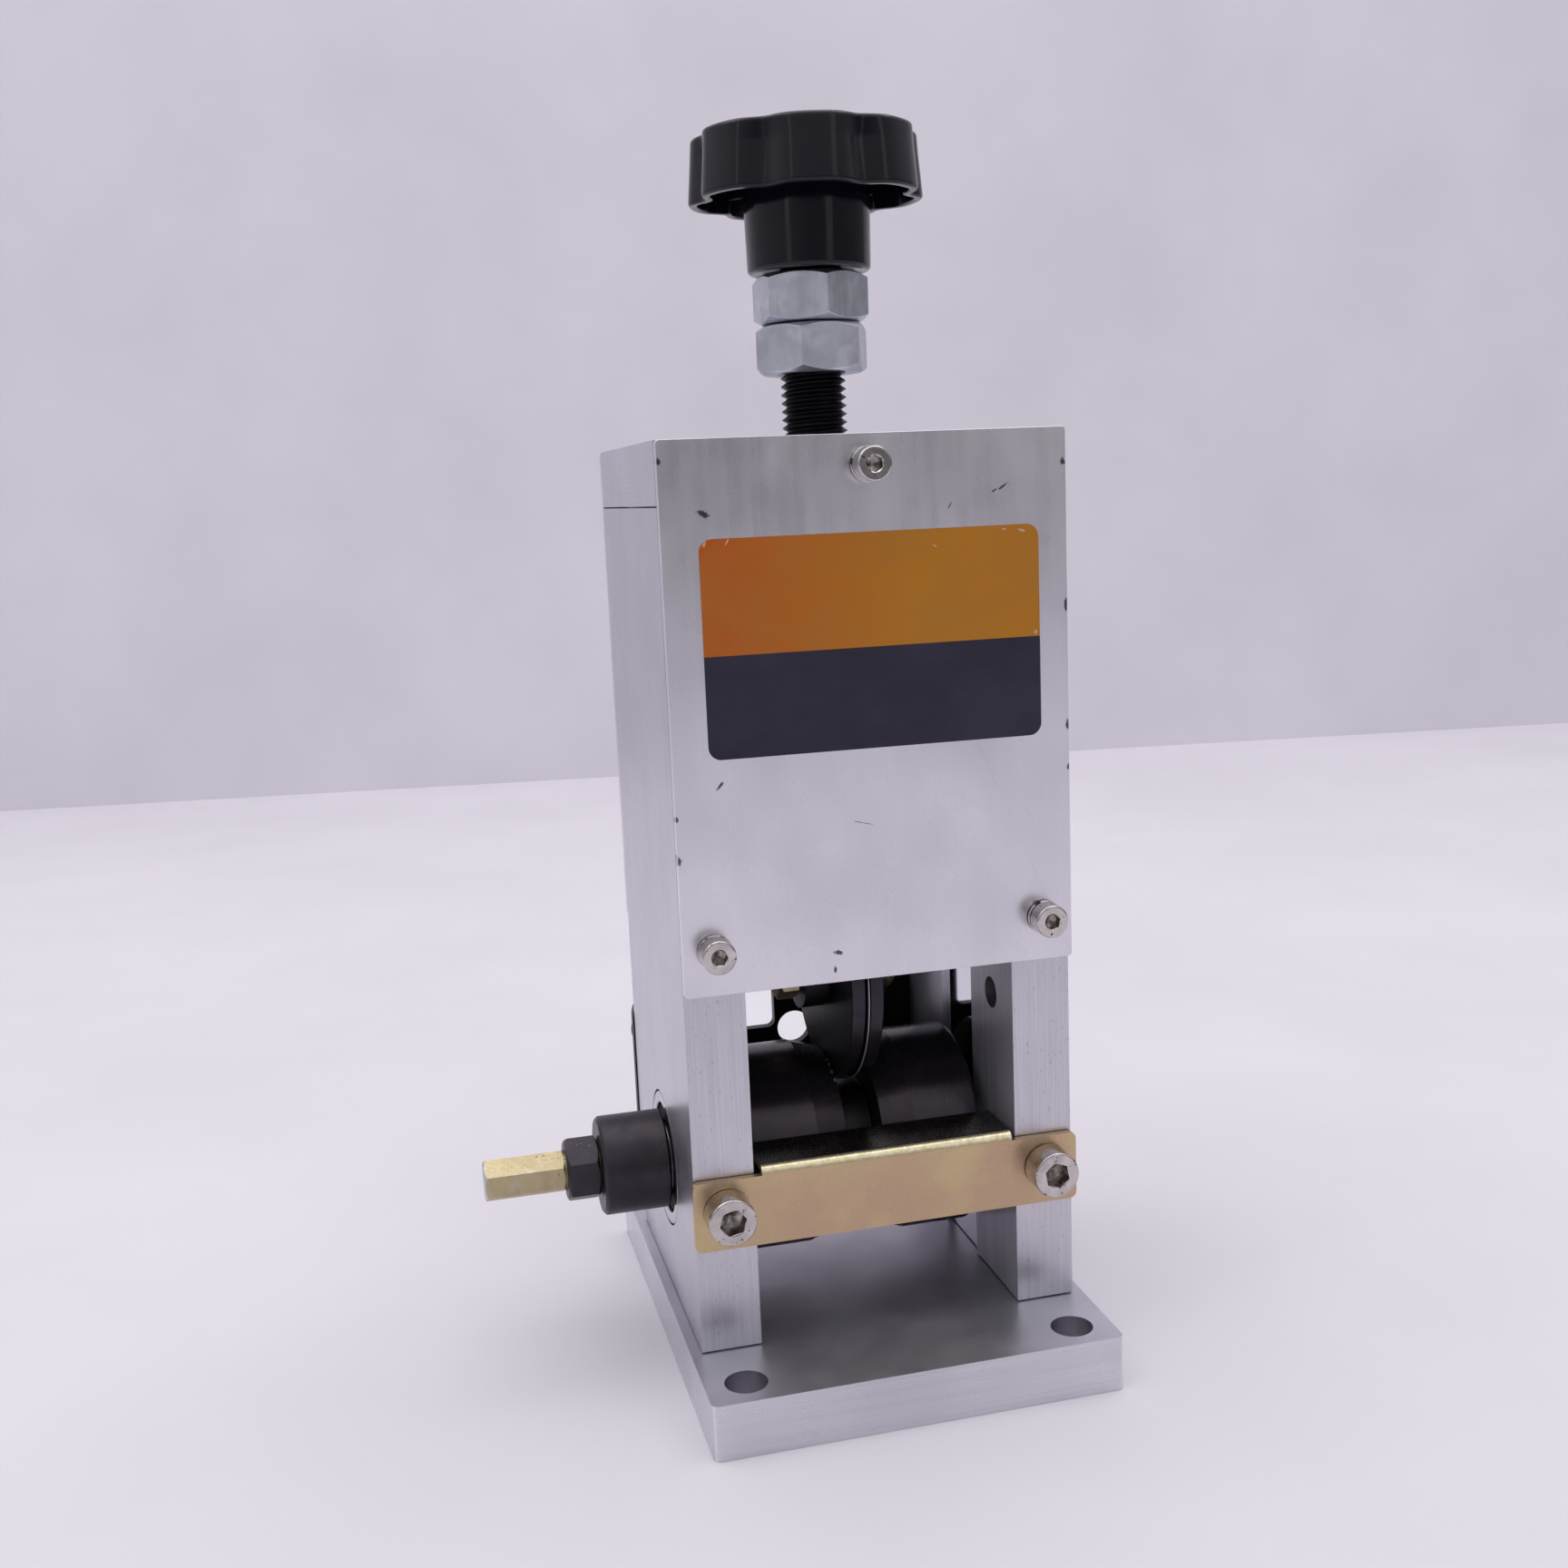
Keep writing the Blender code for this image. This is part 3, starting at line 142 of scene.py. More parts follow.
def spots(tree, marks):
    """One inside small ragged marks, zero elsewhere. A mark is (x, y, z, length, width, tilt) in mm."""
    spot = add(tree, "TexCoord", output="Object")
    wavy = add(tree, "TexNoise", {"Vector": spot, "Scale": 1400.0, "Detail": 3.0})
    nearest = None
    for x, y, z, length, width, tilt in marks:
        place = {"Vector": spot, "Location": (x * MM, y * MM, z * MM), "Rotation": (0, math.radians(tilt), 0),
                 "Scale": (length * MM, 1, width * MM)}
        own = add(tree, "Mapping", place, vector_type="TEXTURE")
        away = add(tree, "VectorMath", {0: own}, "Value", operation="LENGTH")
        share = add(tree, "Math", {0: wavy, 1: 1.6, 2: away}, operation="MULTIPLY_ADD")
        nearest = add(tree, "Math", {0: nearest, 1: share}, operation="MINIMUM") if nearest else share
    return add(tree, "MapRange", {0: nearest, 1: 1.3, 2: 1.7, 3: 1.0, 4: 0.0})


print("orange in linear light:", [round(c, 3) for c in linear("#C8751E")])

# %% [markdown]
# ## Bare aluminium
# The plates are sawn from bar, milled to size and left bare. The cutter leaves
# fine parallel lines, so each face gets its lines along the way it was
# machined, and handling adds dull smudges, pits and a few nicks at the edges.
# The real lines are about 0.05 mm apart, too fine to show, so they are drawn
# about 0.3 mm apart.

# %% Aluminium


def bare_aluminium(name, lines_mm, light, dark, rough, relief=0.02, pits=0.0, marks=(), metallic=1.0):
    """Milled or brushed aluminium whose lines have the given size along X, Y and Z."""
    material, tree, shader = start_material(name, Metallic=metallic)
    lines = grain(tree, lines_mm, 4.0)
    smudge = add(tree, "MapRange", {0: grain(tree, (22, 22, 28), 1.0, 3.7), 1: 0.35, 2: 0.75, 4: 0.35})
    haze = add(tree, "MapRange", {0: grain(tree, (7, 7, 9), 1.0, 9.1), 1: 0.35, 2: 0.75, 4: rough * 0.15})
    tone = add(tree, "MapRange", {0: lines, 1: 0.3, 2: 0.7})
    colour = add(tree, "Mix", {0: tone, 6: dark, 7: light}, 2, data_type="RGBA")
    colour = add(tree, "Mix", {0: smudge, 6: colour, 7: "#B6B5BD"}, 2, data_type="RGBA")
    sheen = add(tree, "MapRange", {0: lines, 1: 0.3, 2: 0.7, 3: rough * 0.95, 4: rough * 1.1})
    roughness = add(tree, "Math", {0: sheen, 1: haze}, operation="ADD")
    height = lines
    if pits:
        speck = add(tree, "MapRange", {0: grain(tree, (0.5, 0.5, 1.6), 1.0, 5.3), 1: 0.68, 2: 0.74, 4: pits})
        colour = add(tree, "Mix", {0: speck, 6: colour, 7: "#5B5A62"}, 2, data_type="RGBA")
        height = add(tree, "Math", {0: height, 1: speck}, operation="SUBTRACT")
    if marks:
        nick = spots(tree, marks)
        colour = add(tree, "Mix", {0: nick, 6: colour, 7: "#5E5C64"}, 2, data_type="RGBA")
        height = add(tree, "Math", {0: nick, 1: -4.0, 2: height}, operation="MULTIPLY_ADD")
    finish_material(tree, shader, colour, roughness, height, relief)
    return material


COVER_FACE = 37.5


def on_face(y, places):
    """Marks on a flat face at y, from (x, z, length, width, tilt) places."""
    return [(x, y, z, length, width, tilt) for x, z, length, width, tilt in places]


FRONT_NICKS = on_face(-COVER_FACE, [
    (41.3, 193.8, 0.7, 1.2, 0), (-41.5, 196.8, 0.6, 0.9, 0), (-33.5, 186.5, 1.9, 0.7, 20),
    (28.2, 189.2, 1.5, 0.25, -35), (26.6, 188.6, 0.9, 0.3, -30), (-32.6, 133.2, 1.4, 0.35, -50),
    (-10.4, 92.9, 0.4, 1.1, 10), (27.0, 176.5, 1.1, 0.3, 40), (-41.7, 118.8, 0.6, 1.5, 0),
    (-41.7, 127.0, 0.5, 0.9, 0), (41.7, 165.0, 0.5, 2.0, 0), (41.7, 140.0, 0.5, 1.4, 0),
    (41.7, 131.0, 0.5, 0.9, 0), (-9.5, 96.5, 1.3, 0.6, 15), (12.5, 171.5, 2.4, 0.12, 55),
    (-30.4, 168.4, 2.2, 0.14, 70), (17.0, 186.0, 1.3, 0.14, -60), (-3.0, 123.0, 3.0, 0.1, 15),
])
REAR_NICKS = on_face(COVER_FACE, [
    (-28, 190, 1.3, 0.3, 40), (33, 150.5, 1.5, 0.2, -20), (41.7, 122, 0.5, 1.3, 0),
])
COVER, REAR = [
    bare_aluminium(name, (2.5, 0.4, 60), "#E5E3E9", "#E1DFE6", 0.26, 0.0004, 0, nicks)
    for name, nicks in (("brushed_aluminium_cover", FRONT_NICKS), ("brushed_aluminium_rear", REAR_NICKS))
]
PLATE = bare_aluminium("milled_aluminium_plate", (0.35, 0.35, 30), "#D6D4DB", "#C1BFC7", 0.3, 0.008, 0.28)
BASE = bare_aluminium("milled_aluminium_base", (40, 0.5, 0.5), "#DFDDE4", "#D2D0D8", 0.27, 0.002)
BLOCK = bare_aluminium("milled_aluminium_block", (20, 20, 0.5), "#D9D7DE", "#CBC9D1", 0.32, 0.005)
BRIGHT = bare_aluminium("rolled_aluminium_face", (14, 14, 14), "#CFCDD6", "#C1BFC9", 0.34, 0.002, metallic=0.86)
INSIDE = bare_aluminium("drawn_aluminium_face", (0.7, 0.7, 40), "#CFCDD6", "#AFADB8", 0.3, 0.003, metallic=0.55)
# Painted highlight: a lighter, smoother aluminium for the rounded outer edges.
ALUMINIUM_PAINTED_HIGHLIGHT = bare_aluminium("aluminium_edge_painted_highlight", (6, 6, 6), "#F4F3F7", "#E6E4EB", 0.3, 0.001, metallic=0.85)
MIRROR = bare_aluminium("slot_milled_aluminium", (0.6, 0.6, 30), "#E4E2E9", "#DAD8E0", 0.05, 0.001)
ALUMINIUM = [COVER, REAR, PLATE, BASE, BLOCK, BRIGHT, INSIDE, ALUMINIUM_PAINTED_HIGHLIGHT, MIRROR]
print("aluminium finishes:", [material.name for material in ALUMINIUM])

# %% [markdown]
# ## Steel finishes
# Black oxide is a thin dark skin on turned steel: it stays metallic, keeps the
# tool marks, takes an oily brown tint and wears through along the edges. Zinc
# plate is bright with a blue cast, or straw gold where it was passivated yellow,
# with faint rainbow drift. Nickel plate is the warmest and smoothest, and chips
# where the wrench sits.

# %% Steel


def plated(name, colours, rough, drift_mm=9, metallic=1.0, chips=0.0, chip_colour="#3B3836",
           lines_mm=(0.5, 0.5, 0.5), relief=0.004, marks=()):
    """A metal skin that drifts between three colours, with fine relief, chips and worn marks."""
    material, tree, shader = start_material(name, Metallic=metallic)
    first, second, third = colours
    drift = add(tree, "MapRange", {0: grain(tree, (drift_mm,) * 3, 2.0, 1.3), 1: 0.4, 2: 0.62})
    tint = add(tree, "MapRange", {0: grain(tree, (drift_mm * 0.6,) * 3, 2.0, 7.9), 1: 0.5, 2: 0.7, 4: 0.8})
    fine = grain(tree, lines_mm, 3.0, 4.4)
    colour = add(tree, "Mix", {0: drift, 6: first, 7: second}, 2, data_type="RGBA")
    colour = add(tree, "Mix", {0: tint, 6: colour, 7: third}, 2, data_type="RGBA")
    height = fine
    if chips:
        flaw = grain(tree, (0.9, 0.9, 0.9), 2.0, 12.5)
        flaw = add(tree, "MapRange", {0: flaw, 1: 0.72 - chips, 2: 0.76 - chips})
        colour = add(tree, "Mix", {0: flaw, 6: colour, 7: chip_colour}, 2, data_type="RGBA")
        height = add(tree, "Math", {0: fine, 1: flaw}, operation="SUBTRACT")
    if marks:
        colour = add(tree, "Mix", {0: spots(tree, marks), 6: colour, 7: "#C9C7CB"}, 2, data_type="RGBA")
    roughness = add(tree, "MapRange", {0: fine, 1: 0.3, 2: 0.7, 3: rough * 0.85, 4: rough * 1.3})
    finish_material(tree, shader, colour, roughness, height, relief)
    return material


ROLLER_FLECKS = [
    (-4.2, 0, 62.4, 0.8, 0.15, 0), (-4.2, 0, 61.8, 0.7, 0.25, 0),
    (-4.2, 0, 60.8, 0.8, 0.35, 0), (-4.2, 0, 59.6, 0.6, 0.35, 0),
]
BLACK = plated("black_oxide_steel", ("#3F3B41", "#37343A", "#47403F"), 0.36, 12, 0.8, 0.02, "#6A676B")
TURNED = plated("black_oxide_turned", ("#37333A", "#312D33", "#413239"), 0.22, 14, 0.65, lines_mm=(0.25, 6, 6),
                marks=ROLLER_FLECKS)
RIM = plated("black_oxide_ground", ("#3A373D", "#312E34", "#423C42"), 0.3, 12, 0.85, lines_mm=(0.3, 5, 5))
# Painted shade: a darker black steel for the roller's groove and the flanges' side faces.
BLACK_STEEL_PAINTED_SHADE = plated("black_steel_painted_shade", ("#141217", "#100F13", "#1A171C"), 0.45, 12, 0.3)
SHEET = plated("black_painted_sheet", ("#1C1B20", "#18171B", "#242228"), 0.4, 15, 0.2)
THREAD = plated("black_oxide_thread", ("#1E1C22", "#1A181D", "#2B282D"), 0.34, 6, 0.8)
ZINC = plated("bright_zinc_plate", ("#C3C6CF", "#B5B8C1", "#D2D5DD"), 0.34, 8, 0.95, lines_mm=(0.5, 0.5, 6))
GOLD = plated("yellow_zinc_plate", ("#C5AF8A", "#C0A488", "#CBB68A"), 0.3, 30, 0.97, relief=0.0015)
# Painted highlight: a lighter gold zinc with specks for crazed plating, used on bends and turned corners.
GOLD_PAINTED_HIGHLIGHT = plated("yellow_zinc_painted_highlight", ("#E6DCB6", "#D3C79C", "#F2EAD0"), 0.3, 2, 0.9, 0.02, "#8D8058", relief=0.012)
# Painted shade: a dark zinc finish for the top of the bracket's tab.
ZINC_PAINTED_SHADE = plated("zinc_plate_painted_shade", ("#4B4642", "#423E3B", "#58504A"), 0.25, 12, 0.9)
GOLD_BAR = plated("yellow_zinc_bar", ("#BDAF8B", "#B3A584", "#C6BAA2"), 0.42, 8, 0.95, 0.03, "#6B5A3C")
NICKEL = plated("nickel_plate", ("#C6C1BF", "#B5B0AE", "#D2CBC6"), 0.15, 4, 1.0, 0.07, "#4A4440")
# Painted shade: a darker nickel for the inside of sockets.
NICKEL_PAINTED_SHADE = plated("nickel_socket_painted_shade", ("#A59E98", "#746D68", "#B7B0A9"), 0.2, 2, 0.95)
GROUND = plated("ground_bearing_steel", ("#B7B8BC", "#A8A9AE", "#C4C4C8"), 0.18, 8, lines_mm=(0.2, 5, 5))
BLADE = plated("hardened_tool_steel", ("#4A484F", "#3F3D45", "#54525A"), 0.3, 10, lines_mm=(5, 0.3, 0.3))
HONED = plated("honed_cutting_edge", ("#E4E2E8", "#DCDAE0", "#ECEAF0"), 0.3, 6, 0.8, lines_mm=(5, 0.3, 0.3))
BRONZE = plated("oiled_sintered_bronze", ("#8A6437", "#7A552E", "#9A7646"), 0.4)
STEELS = [
    BLACK, TURNED, RIM, BLACK_STEEL_PAINTED_SHADE, SHEET, THREAD, ZINC, GOLD, GOLD_PAINTED_HIGHLIGHT, ZINC_PAINTED_SHADE, GOLD_BAR, NICKEL, NICKEL_PAINTED_SHADE, GROUND,
    BLADE, HONED, BRONZE,
]
print("steel finishes:", [material.name for material in STEELS])

# %% [markdown]
# ## Plastic, rubber and print
# The knob is moulded in glossy black phenolic, so its skin is smooth with a
# slow ripple and a little dust. The bearing seals are matt rubber. The label is
# a printed film in two tones: orange that is mottled by the light through the
# gloss, and a dark slate, with a few scuffs where the white film shows.

# %% Plastic, rubber and print


def glossy_black():
    """Moulded black plastic with a slow ripple and dust specks."""
    material, tree, shader = start_material("glossy_black_phenolic", Specular_IOR_Level=0.36)
    ripple = grain(tree, (14, 14, 30), 2.0, 2.6)
    dust = add(tree, "MapRange", {0: grain(tree, (0.7, 0.7, 0.7), 1.0, 8.8), 1: 0.74, 2: 0.78, 4: 0.35})
    colour = add(tree, "Mix", {0: dust, 6: "#0D0B16", 7: "#4A4850"}, 2, data_type="RGBA")
    rough = add(tree, "MapRange", {0: grain(tree, (6, 6, 6), 3.0), 1: 0.35, 2: 0.65, 3: 0.1, 4: 0.17})
    finish_material(tree, shader, colour, rough, ripple, 0.15)
    return material


def seal_rubber():
    """Matt black rubber with a fine pebble."""
    material, tree, shader = start_material("matt_black_rubber", Specular_IOR_Level=0.3)
    pebble = grain(tree, (0.3, 0.3, 0.3), 2.0)
    colour = add(tree, "Mix", {0: pebble, 6: "#151416", 7: "#242326"}, 2, data_type="RGBA")
    rough = add(tree, "MapRange", {0: pebble, 3: 0.55, 4: 0.8})
    finish_material(tree, shader, colour, rough, pebble, 0.01)
    return material


LABEL_SPLIT = 158.8
LABEL_SCUFFS = on_face(-37.6, [
    (32.2, 180.4, 1.0, 0.3, 20), (34.9, 159.6, 0.5, 0.5, 0), (-33.4, 180.6, 0.4, 0.8, 20),
    (13.5, 178.2, 0.7, 0.2, 40), (28.5, 180.8, 0.6, 0.2, 0), (-29.0, 180.8, 0.2, 1.0, 30),
])


def printed_film():
    """A printed label film: orange above the split, redder on the left, and dark slate below."""
    material, tree, shader = start_material("two_tone_label_print", Specular_IOR_Level=0.3)
    spot = add(tree, "TexCoord", output="Object")
    height = add(tree, "SeparateXYZ", {0: spot}, "Z")
    upper = add(tree, "MapRange", {0: height, 1: (LABEL_SPLIT - 0.05) * MM, 2: (LABEL_SPLIT + 0.05) * MM})
    mottle = add(tree, "MapRange", {0: grain(tree, (16, 16, 12), 3.0, 1.7), 1: 0.35, 2: 0.68})
    across = add(tree, "MapRange", {0: add(tree, "SeparateXYZ", {0: spot}), 1: -30 * MM, 2: 8 * MM})
    orange = add(tree, "Mix", {0: across, 6: "#B4540E", 7: "#B57616"}, 2, data_type="RGBA")
    # The lighter mottle on the orange is painted light.
    light_mottled = add(tree, "Mix", {0: mottle, 6: orange, 7: "#A8702C"}, 2, data_type="RGBA")
    orange = add(tree, "Mix", {0: 0.5, 6: orange, 7: light_mottled}, 2, data_type="RGBA")
    slate = add(tree, "Mix", {0: mottle, 6: "#262334", 7: "#312D3F"}, 2, data_type="RGBA")
    colour = add(tree, "Mix", {0: upper, 6: slate, 7: orange}, 2, data_type="RGBA")
    colour = add(tree, "Mix", {0: spots(tree, LABEL_SCUFFS), 6: colour, 7: "#C7A78A"}, 2, data_type="RGBA")
    orange_peel = grain(tree, (1.2, 1.2, 1.2), 2.0)
    rough = add(tree, "MapRange", {0: orange_peel, 1: 0.3, 2: 0.7, 3: 0.3, 4: 0.42})
    finish_material(tree, shader, colour, rough, orange_peel, 0.01)
    return material


PHENOLIC = glossy_black()
RUBBER = seal_rubber()
PRINT = printed_film()
print("soft finishes:", PHENOLIC.name, RUBBER.name, PRINT.name)

# %% [markdown]
# ## Small tools for shapes
# Nearly every piece of this tool is turned on a lathe, sawn from bar or cut from
# sheet, so three shapes carry almost all of it: a revolved profile, an extruded
# outline and a hexagon. Shapes are drawn in millimetres along their own Z and
# then laid along an axis of the tool.

# %% Shape helpers
WAYS = {
    "+x": Matrix.Rotation(math.pi / 2, 4, "Y"),
    "-x": Matrix.Rotation(-math.pi / 2, 4, "Y"),
    "+y": Matrix.Rotation(-math.pi / 2, 4, "X"),
    "-y": Matrix.Rotation(math.pi / 2, 4, "X"),
    "+z": Matrix.Identity(4),
    "-z": Matrix.Rotation(math.pi, 4, "X"),
}


def mesh_of(shape):
    """Turns a bmesh into a mesh with its faces pointing out."""
    bmesh.ops.recalc_face_normals(shape, faces=shape.faces)
    mesh = bpy.data.meshes.new("shape")
    shape.to_mesh(mesh)
    shape.free()
    return mesh


def lofted(rings, closed=False, cap_low=False, cap_high=False):
    """Skins rings of equally many (x, y, z) points, in order."""
    shape = bmesh.new()
    loops = [[shape.verts.new(point) for point in ring] for ring in rings]
    pairs = list(zip(loops, loops[1:])) + ([(loops[-1], loops[0])] if closed else [])
    for low, high in pairs:
        for step in range(len(low)):
            after = (step + 1) % len(low)
            shape.faces.new((low[step], low[after], high[after], high[step]))
    if cap_low:
        shape.faces.new(loops[0])
    if cap_high:
        shape.faces.new(loops[-1])
    return mesh_of(shape)


def circle(radius, facets=64):
    """The points of a centred circle."""
    turn = 2 * math.pi / facets
    return [(radius * math.cos(k * turn), radius * math.sin(k * turn)) for k in range(facets)]


def lathe(profile, facets=96, ring=False):
    """Revolves (radius, height) points about Z. A ring's profile closes on itself."""
    rings = [[(x, y, height) for x, y in circle(radius, facets)] for radius, height in profile]
    return lofted(rings, closed=ring, cap_low=not ring, cap_high=not ring)


def prism(outline, low, high):
    """Extrudes a flat outline of (x, y) points from one height to another."""
    return lofted([[(x, y, z) for x, y in outline] for z in (low, high)], cap_low=True, cap_high=True)


def rounded(corners, steps=8):
    """Rounds each (x, y, radius) corner of an outline with an arc."""
    points = []
    for index, (x, y, radius) in enumerate(corners):
        here = Vector((x, y))
        if not radius:
            points.append((x, y))
            continue
        before = (Vector(corners[index - 1][:2]) - here).normalized()
        after = (Vector(corners[(index + 1) % len(corners)][:2]) - here).normalized()
        half = before.angle(after) / 2
        centre = here + (before + after).normalized() * (radius / math.sin(half))
        start = here + before * (radius / math.tan(half)) - centre
        end = here + after * (radius / math.tan(half)) - centre
        sweep = start.angle_signed(end)
        for step in range(steps + 1):
            arm = start.copy()
            arm.rotate(Matrix.Rotation(-sweep * step / steps, 2))
            points.append(tuple(centre + arm))
    return points


def rectangle(width, depth, radius=0.0):
    """A centred rectangle with rounded corners."""
    x, y = width / 2, depth / 2
    return rounded([(-x, -y, radius), (x, -y, radius), (x, y, radius), (-x, y, radius)])


def hexagon(across_flats):
    """A centred hexagon with a corner on +X."""
    return circle(across_flats / math.sqrt(3), 6)


def put(mesh, at=(0, 0, 0), along="+z", turn=0.0):
    """Lays a mesh along an axis, turned about it by degrees, with its origin at a point."""
    mesh.transform(Matrix.Translation(at) @ WAYS[along] @ Matrix.Rotation(math.radians(turn), 4, "Z"))
    return mesh


def joined(meshes):
    """Several closed meshes as one."""
    shape = bmesh.new()
    for mesh in meshes:
        shape.from_mesh(mesh)
    return mesh_of(shape)


def drilled(at, along, diameter, depth, facets=64, seat=None):
    """A drill's path inward from a face, with an optional (diameter, depth) counterbore."""
    profile = [(diameter / 2, -1), (diameter / 2, depth)]
    if seat:
        profile[:1] = [(seat[0] / 2, -1), (seat[0] / 2, seat[1]), (diameter / 2, seat[1])]
    return put(lathe(profile, facets), at, along)


print("a turned washer has", len(lathe([(2, 0), (4, 0), (4, 1), (2, 1)], ring=True).polygons), "faces")

# %% [markdown]
# ## Finishing a piece
# A machined piece never has a knife edge, so each one is cut first and then
# every sharp edge gets a small round that catches a line of light. The piece
# keeps its mesh in the tool's own axes, rides on its body and stands for the
# CAD solid of the same place.

# %% Finishing helper
BODY_OF = {node: body for body, nodes in frame["record"]["behaviour"]["bodies"].items() for node in nodes}


def apply_modifiers(piece):
    """Replaces a piece's mesh with what its modifiers make of it."""
    mesh = bpy.data.meshes.new_from_object(piece.evaluated_get(bpy.context.evaluated_depsgraph_get()))
    piece.modifiers.clear()
    piece.data = mesh


def combine(piece, meshes, operation):
    """Cuts, joins or intersects a piece with meshes, one after the other."""
    tools = [bpy.data.objects.new("tool", mesh) for mesh in meshes]
    for tool in tools:
        bpy.context.scene.collection.objects.link(tool)
        modifier = piece.modifiers.new(operation, "BOOLEAN")
        modifier.operation = operation
        modifier.solver = "EXACT"
        modifier.object = tool
    apply_modifiers(piece)
    for tool in tools:
        bpy.data.objects.remove(tool)


def dress(node, mesh, finish, cuts=(), within=(), plus=(), edge=0.0, sharp=35):
    """Makes the visible piece for one CAD node from a mesh in millimetres."""
    piece = bpy.data.objects.new(f"{node}_dressed", mesh)
    bpy.context.scene.collection.objects.link(piece)
    for meshes, operation in ((within, "INTERSECT"), (plus, "UNION"), (cuts, "DIFFERENCE")):
        combine(piece, meshes, operation)
    if edge:
        bevel = piece.modifiers.new("edges", "BEVEL")
        bevel.width = edge
        bevel.segments = 3
        bevel.limit_method = "ANGLE"
        bevel.angle_limit = math.radians(sharp)
        apply_modifiers(piece)
    piece.data.transform(Matrix.Scale(MM, 4))
    piece.data.shade_smooth()
    piece.data.set_sharp_from_angle(angle=math.radians(sharp))
    normals = piece.modifiers.new("normals", "WEIGHTED_NORMAL")
    normals.keep_sharp = True
    apply_modifiers(piece)
    piece.data.materials.clear()
    piece.data.materials.append(finish)
    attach(piece, BODY_OF[node])
    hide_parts(node)
    return piece


def refinish(piece, finish, test):
    """Gives a second finish to the faces whose middle (in mm) and normal pass a test."""
    piece.data.materials.append(finish)
    for face in piece.data.polygons:
        if test(face.center / MM, face.normal):
            face.material_index = len(piece.data.materials) - 1
    chosen = sum(face.material_index == len(piece.data.materials) - 1 for face in piece.data.polygons)
    print(piece.name, "has", chosen, "faces in", finish.name)


def paint_edge_highlights(piece):
    """Gives the slanted faces along a plate's outer edges a lighter finish, a painted highlight."""
    low, high = (Vector(piece.bound_box[corner]) / MM for corner in (0, 6))

    def outer(middle, normal):
        near = sum(min(middle[k] - low[k], high[k] - middle[k]) < 0.6 for k in range(3))
        return near >= 2 and max(abs(value) for value in normal) < 0.97

    refinish(piece, ALUMINIUM_PAINTED_HIGHLIGHT, outer)


print("solids to dress:", len(BODY_OF))

# %% [markdown]
# ## Base plate
# A slab sawn from flat bar, its edges broken with a file. Four through holes
# take bench bolts, and four counterbored holes below hold the screws that pull
# the side plates down. All holes are drilled, so they are cut round and deep.

# %% Base plate
SHAFT_Z = 42.2
AXLE_Z = 83.5
PLATE_MIDDLE = 35.55
PLATE_FRONT = 35.3
FRAME_SCREWS = {
    f"{side}_{end}": (x, y)
    for side, x in (("left", -PLATE_MIDDLE), ("right", PLATE_MIDDLE))
    for end, y in (("front", -20), ("rear", 20))
}
cuts = [drilled((x, y, 0), "+z", 9, 13) for x in (-35.7, 35.7) for y in (-49.15, 49.15)]
cuts += [drilled((x, y, 0), "+z", 6.6, 13, seat=(10.6, 6.6)) for x, y in FRAME_SCREWS.values()]
base = dress("base_plate", prism(rectangle(88.8, 113.5, 1.5), 0, 12), BASE, cuts, edge=0.6)
refinish(base, BRIGHT, lambda middle, normal: middle.z > 11.9 and normal.z > 0.9)
paint_edge_highlights(base)
print("base plate:", len(base.data.polygons), "faces")

# %% [markdown]
# ## Side plates
# Two thick bars stand on the base. Each is bored for its bearing from outside,
# leaving a shoulder, and milled with a shallow slot inside, where the cutter
# carriage slides. The right bar also has a blind hole that shows in the window.

# %% Side plates
for node, side, inward in (("left_side_plate", -1, "+x"), ("right_side_plate", 1, "-x")):
    outline = [(x + side * PLATE_MIDDLE, y) for x, y in rectangle(12.9, 2 * PLATE_FRONT)]
    slot = [(x + side * 29.1, y) for x, y in rectangle(2, 20)]
    cuts = [
        prism(slot, 11, 189),
        drilled((side * 42, 0, SHAFT_Z), inward, 24, 14, 96, (30.6, 9.3)),
        drilled((side * 35.6, PLATE_FRONT, 60.3), "-y", 6.6, 12),
        drilled((side * 35.5, -PLATE_FRONT, 43.7), "+y", 6.6, 14),
    ]
    cuts += [drilled((side * 35.5, y, 99.5), way, 4.6, 11) for y, way in ((-PLATE_FRONT, "+y"), (PLATE_FRONT, "-y"))]
    if side > 0:
        cuts.append(drilled((29.1, -22.5, 79.3), "+x", 7, 6))
    plate = dress(node, prism(outline, 12.3, 188), PLATE, cuts, edge=0.45)
    refinish(plate, BRIGHT, lambda middle, normal: abs(middle.x) < 30 and abs(normal.x) > 0.9)
    refinish(plate, INSIDE, lambda middle, normal: abs(middle.x) < 30 and abs(normal.x) > 0.9 and middle.y < -9)
    refinish(plate, MIRROR, lambda middle, normal: 30 < abs(middle.x) < 31 and abs(normal.x) > 0.9)
    paint_edge_highlights(plate)
print("side plates stand", 188 - 12.3, "mm tall")

# %% [markdown]
# ## Top block
# The block across the top holds the rod's thread. Its four screws sit in
# counterbores, so the knob can come down without touching them.

# %% Top block
cuts = [drilled((0, 0, 200.8), "-z", 14.6, 14)]
cuts += [drilled((x, y, 200.8), "-z", 6.6, 14, seat=(10.6, 6.3)) for x, y in FRAME_SCREWS.values()]
cuts += [drilled((0, y, 194.7), way, 4.6, 11) for y, way in ((-PLATE_FRONT, "+y"), (PLATE_FRONT, "-y"))]
paint_edge_highlights(dress("top_block", prism(rectangle(84, 2 * PLATE_FRONT), 188.3, 200.8), BLOCK, cuts, edge=0.6))

# %% [markdown]
# ## Covers
# Front and rear covers are cut from 2 mm sheet and hide the carriage above the
# window. Each hangs on three screws.

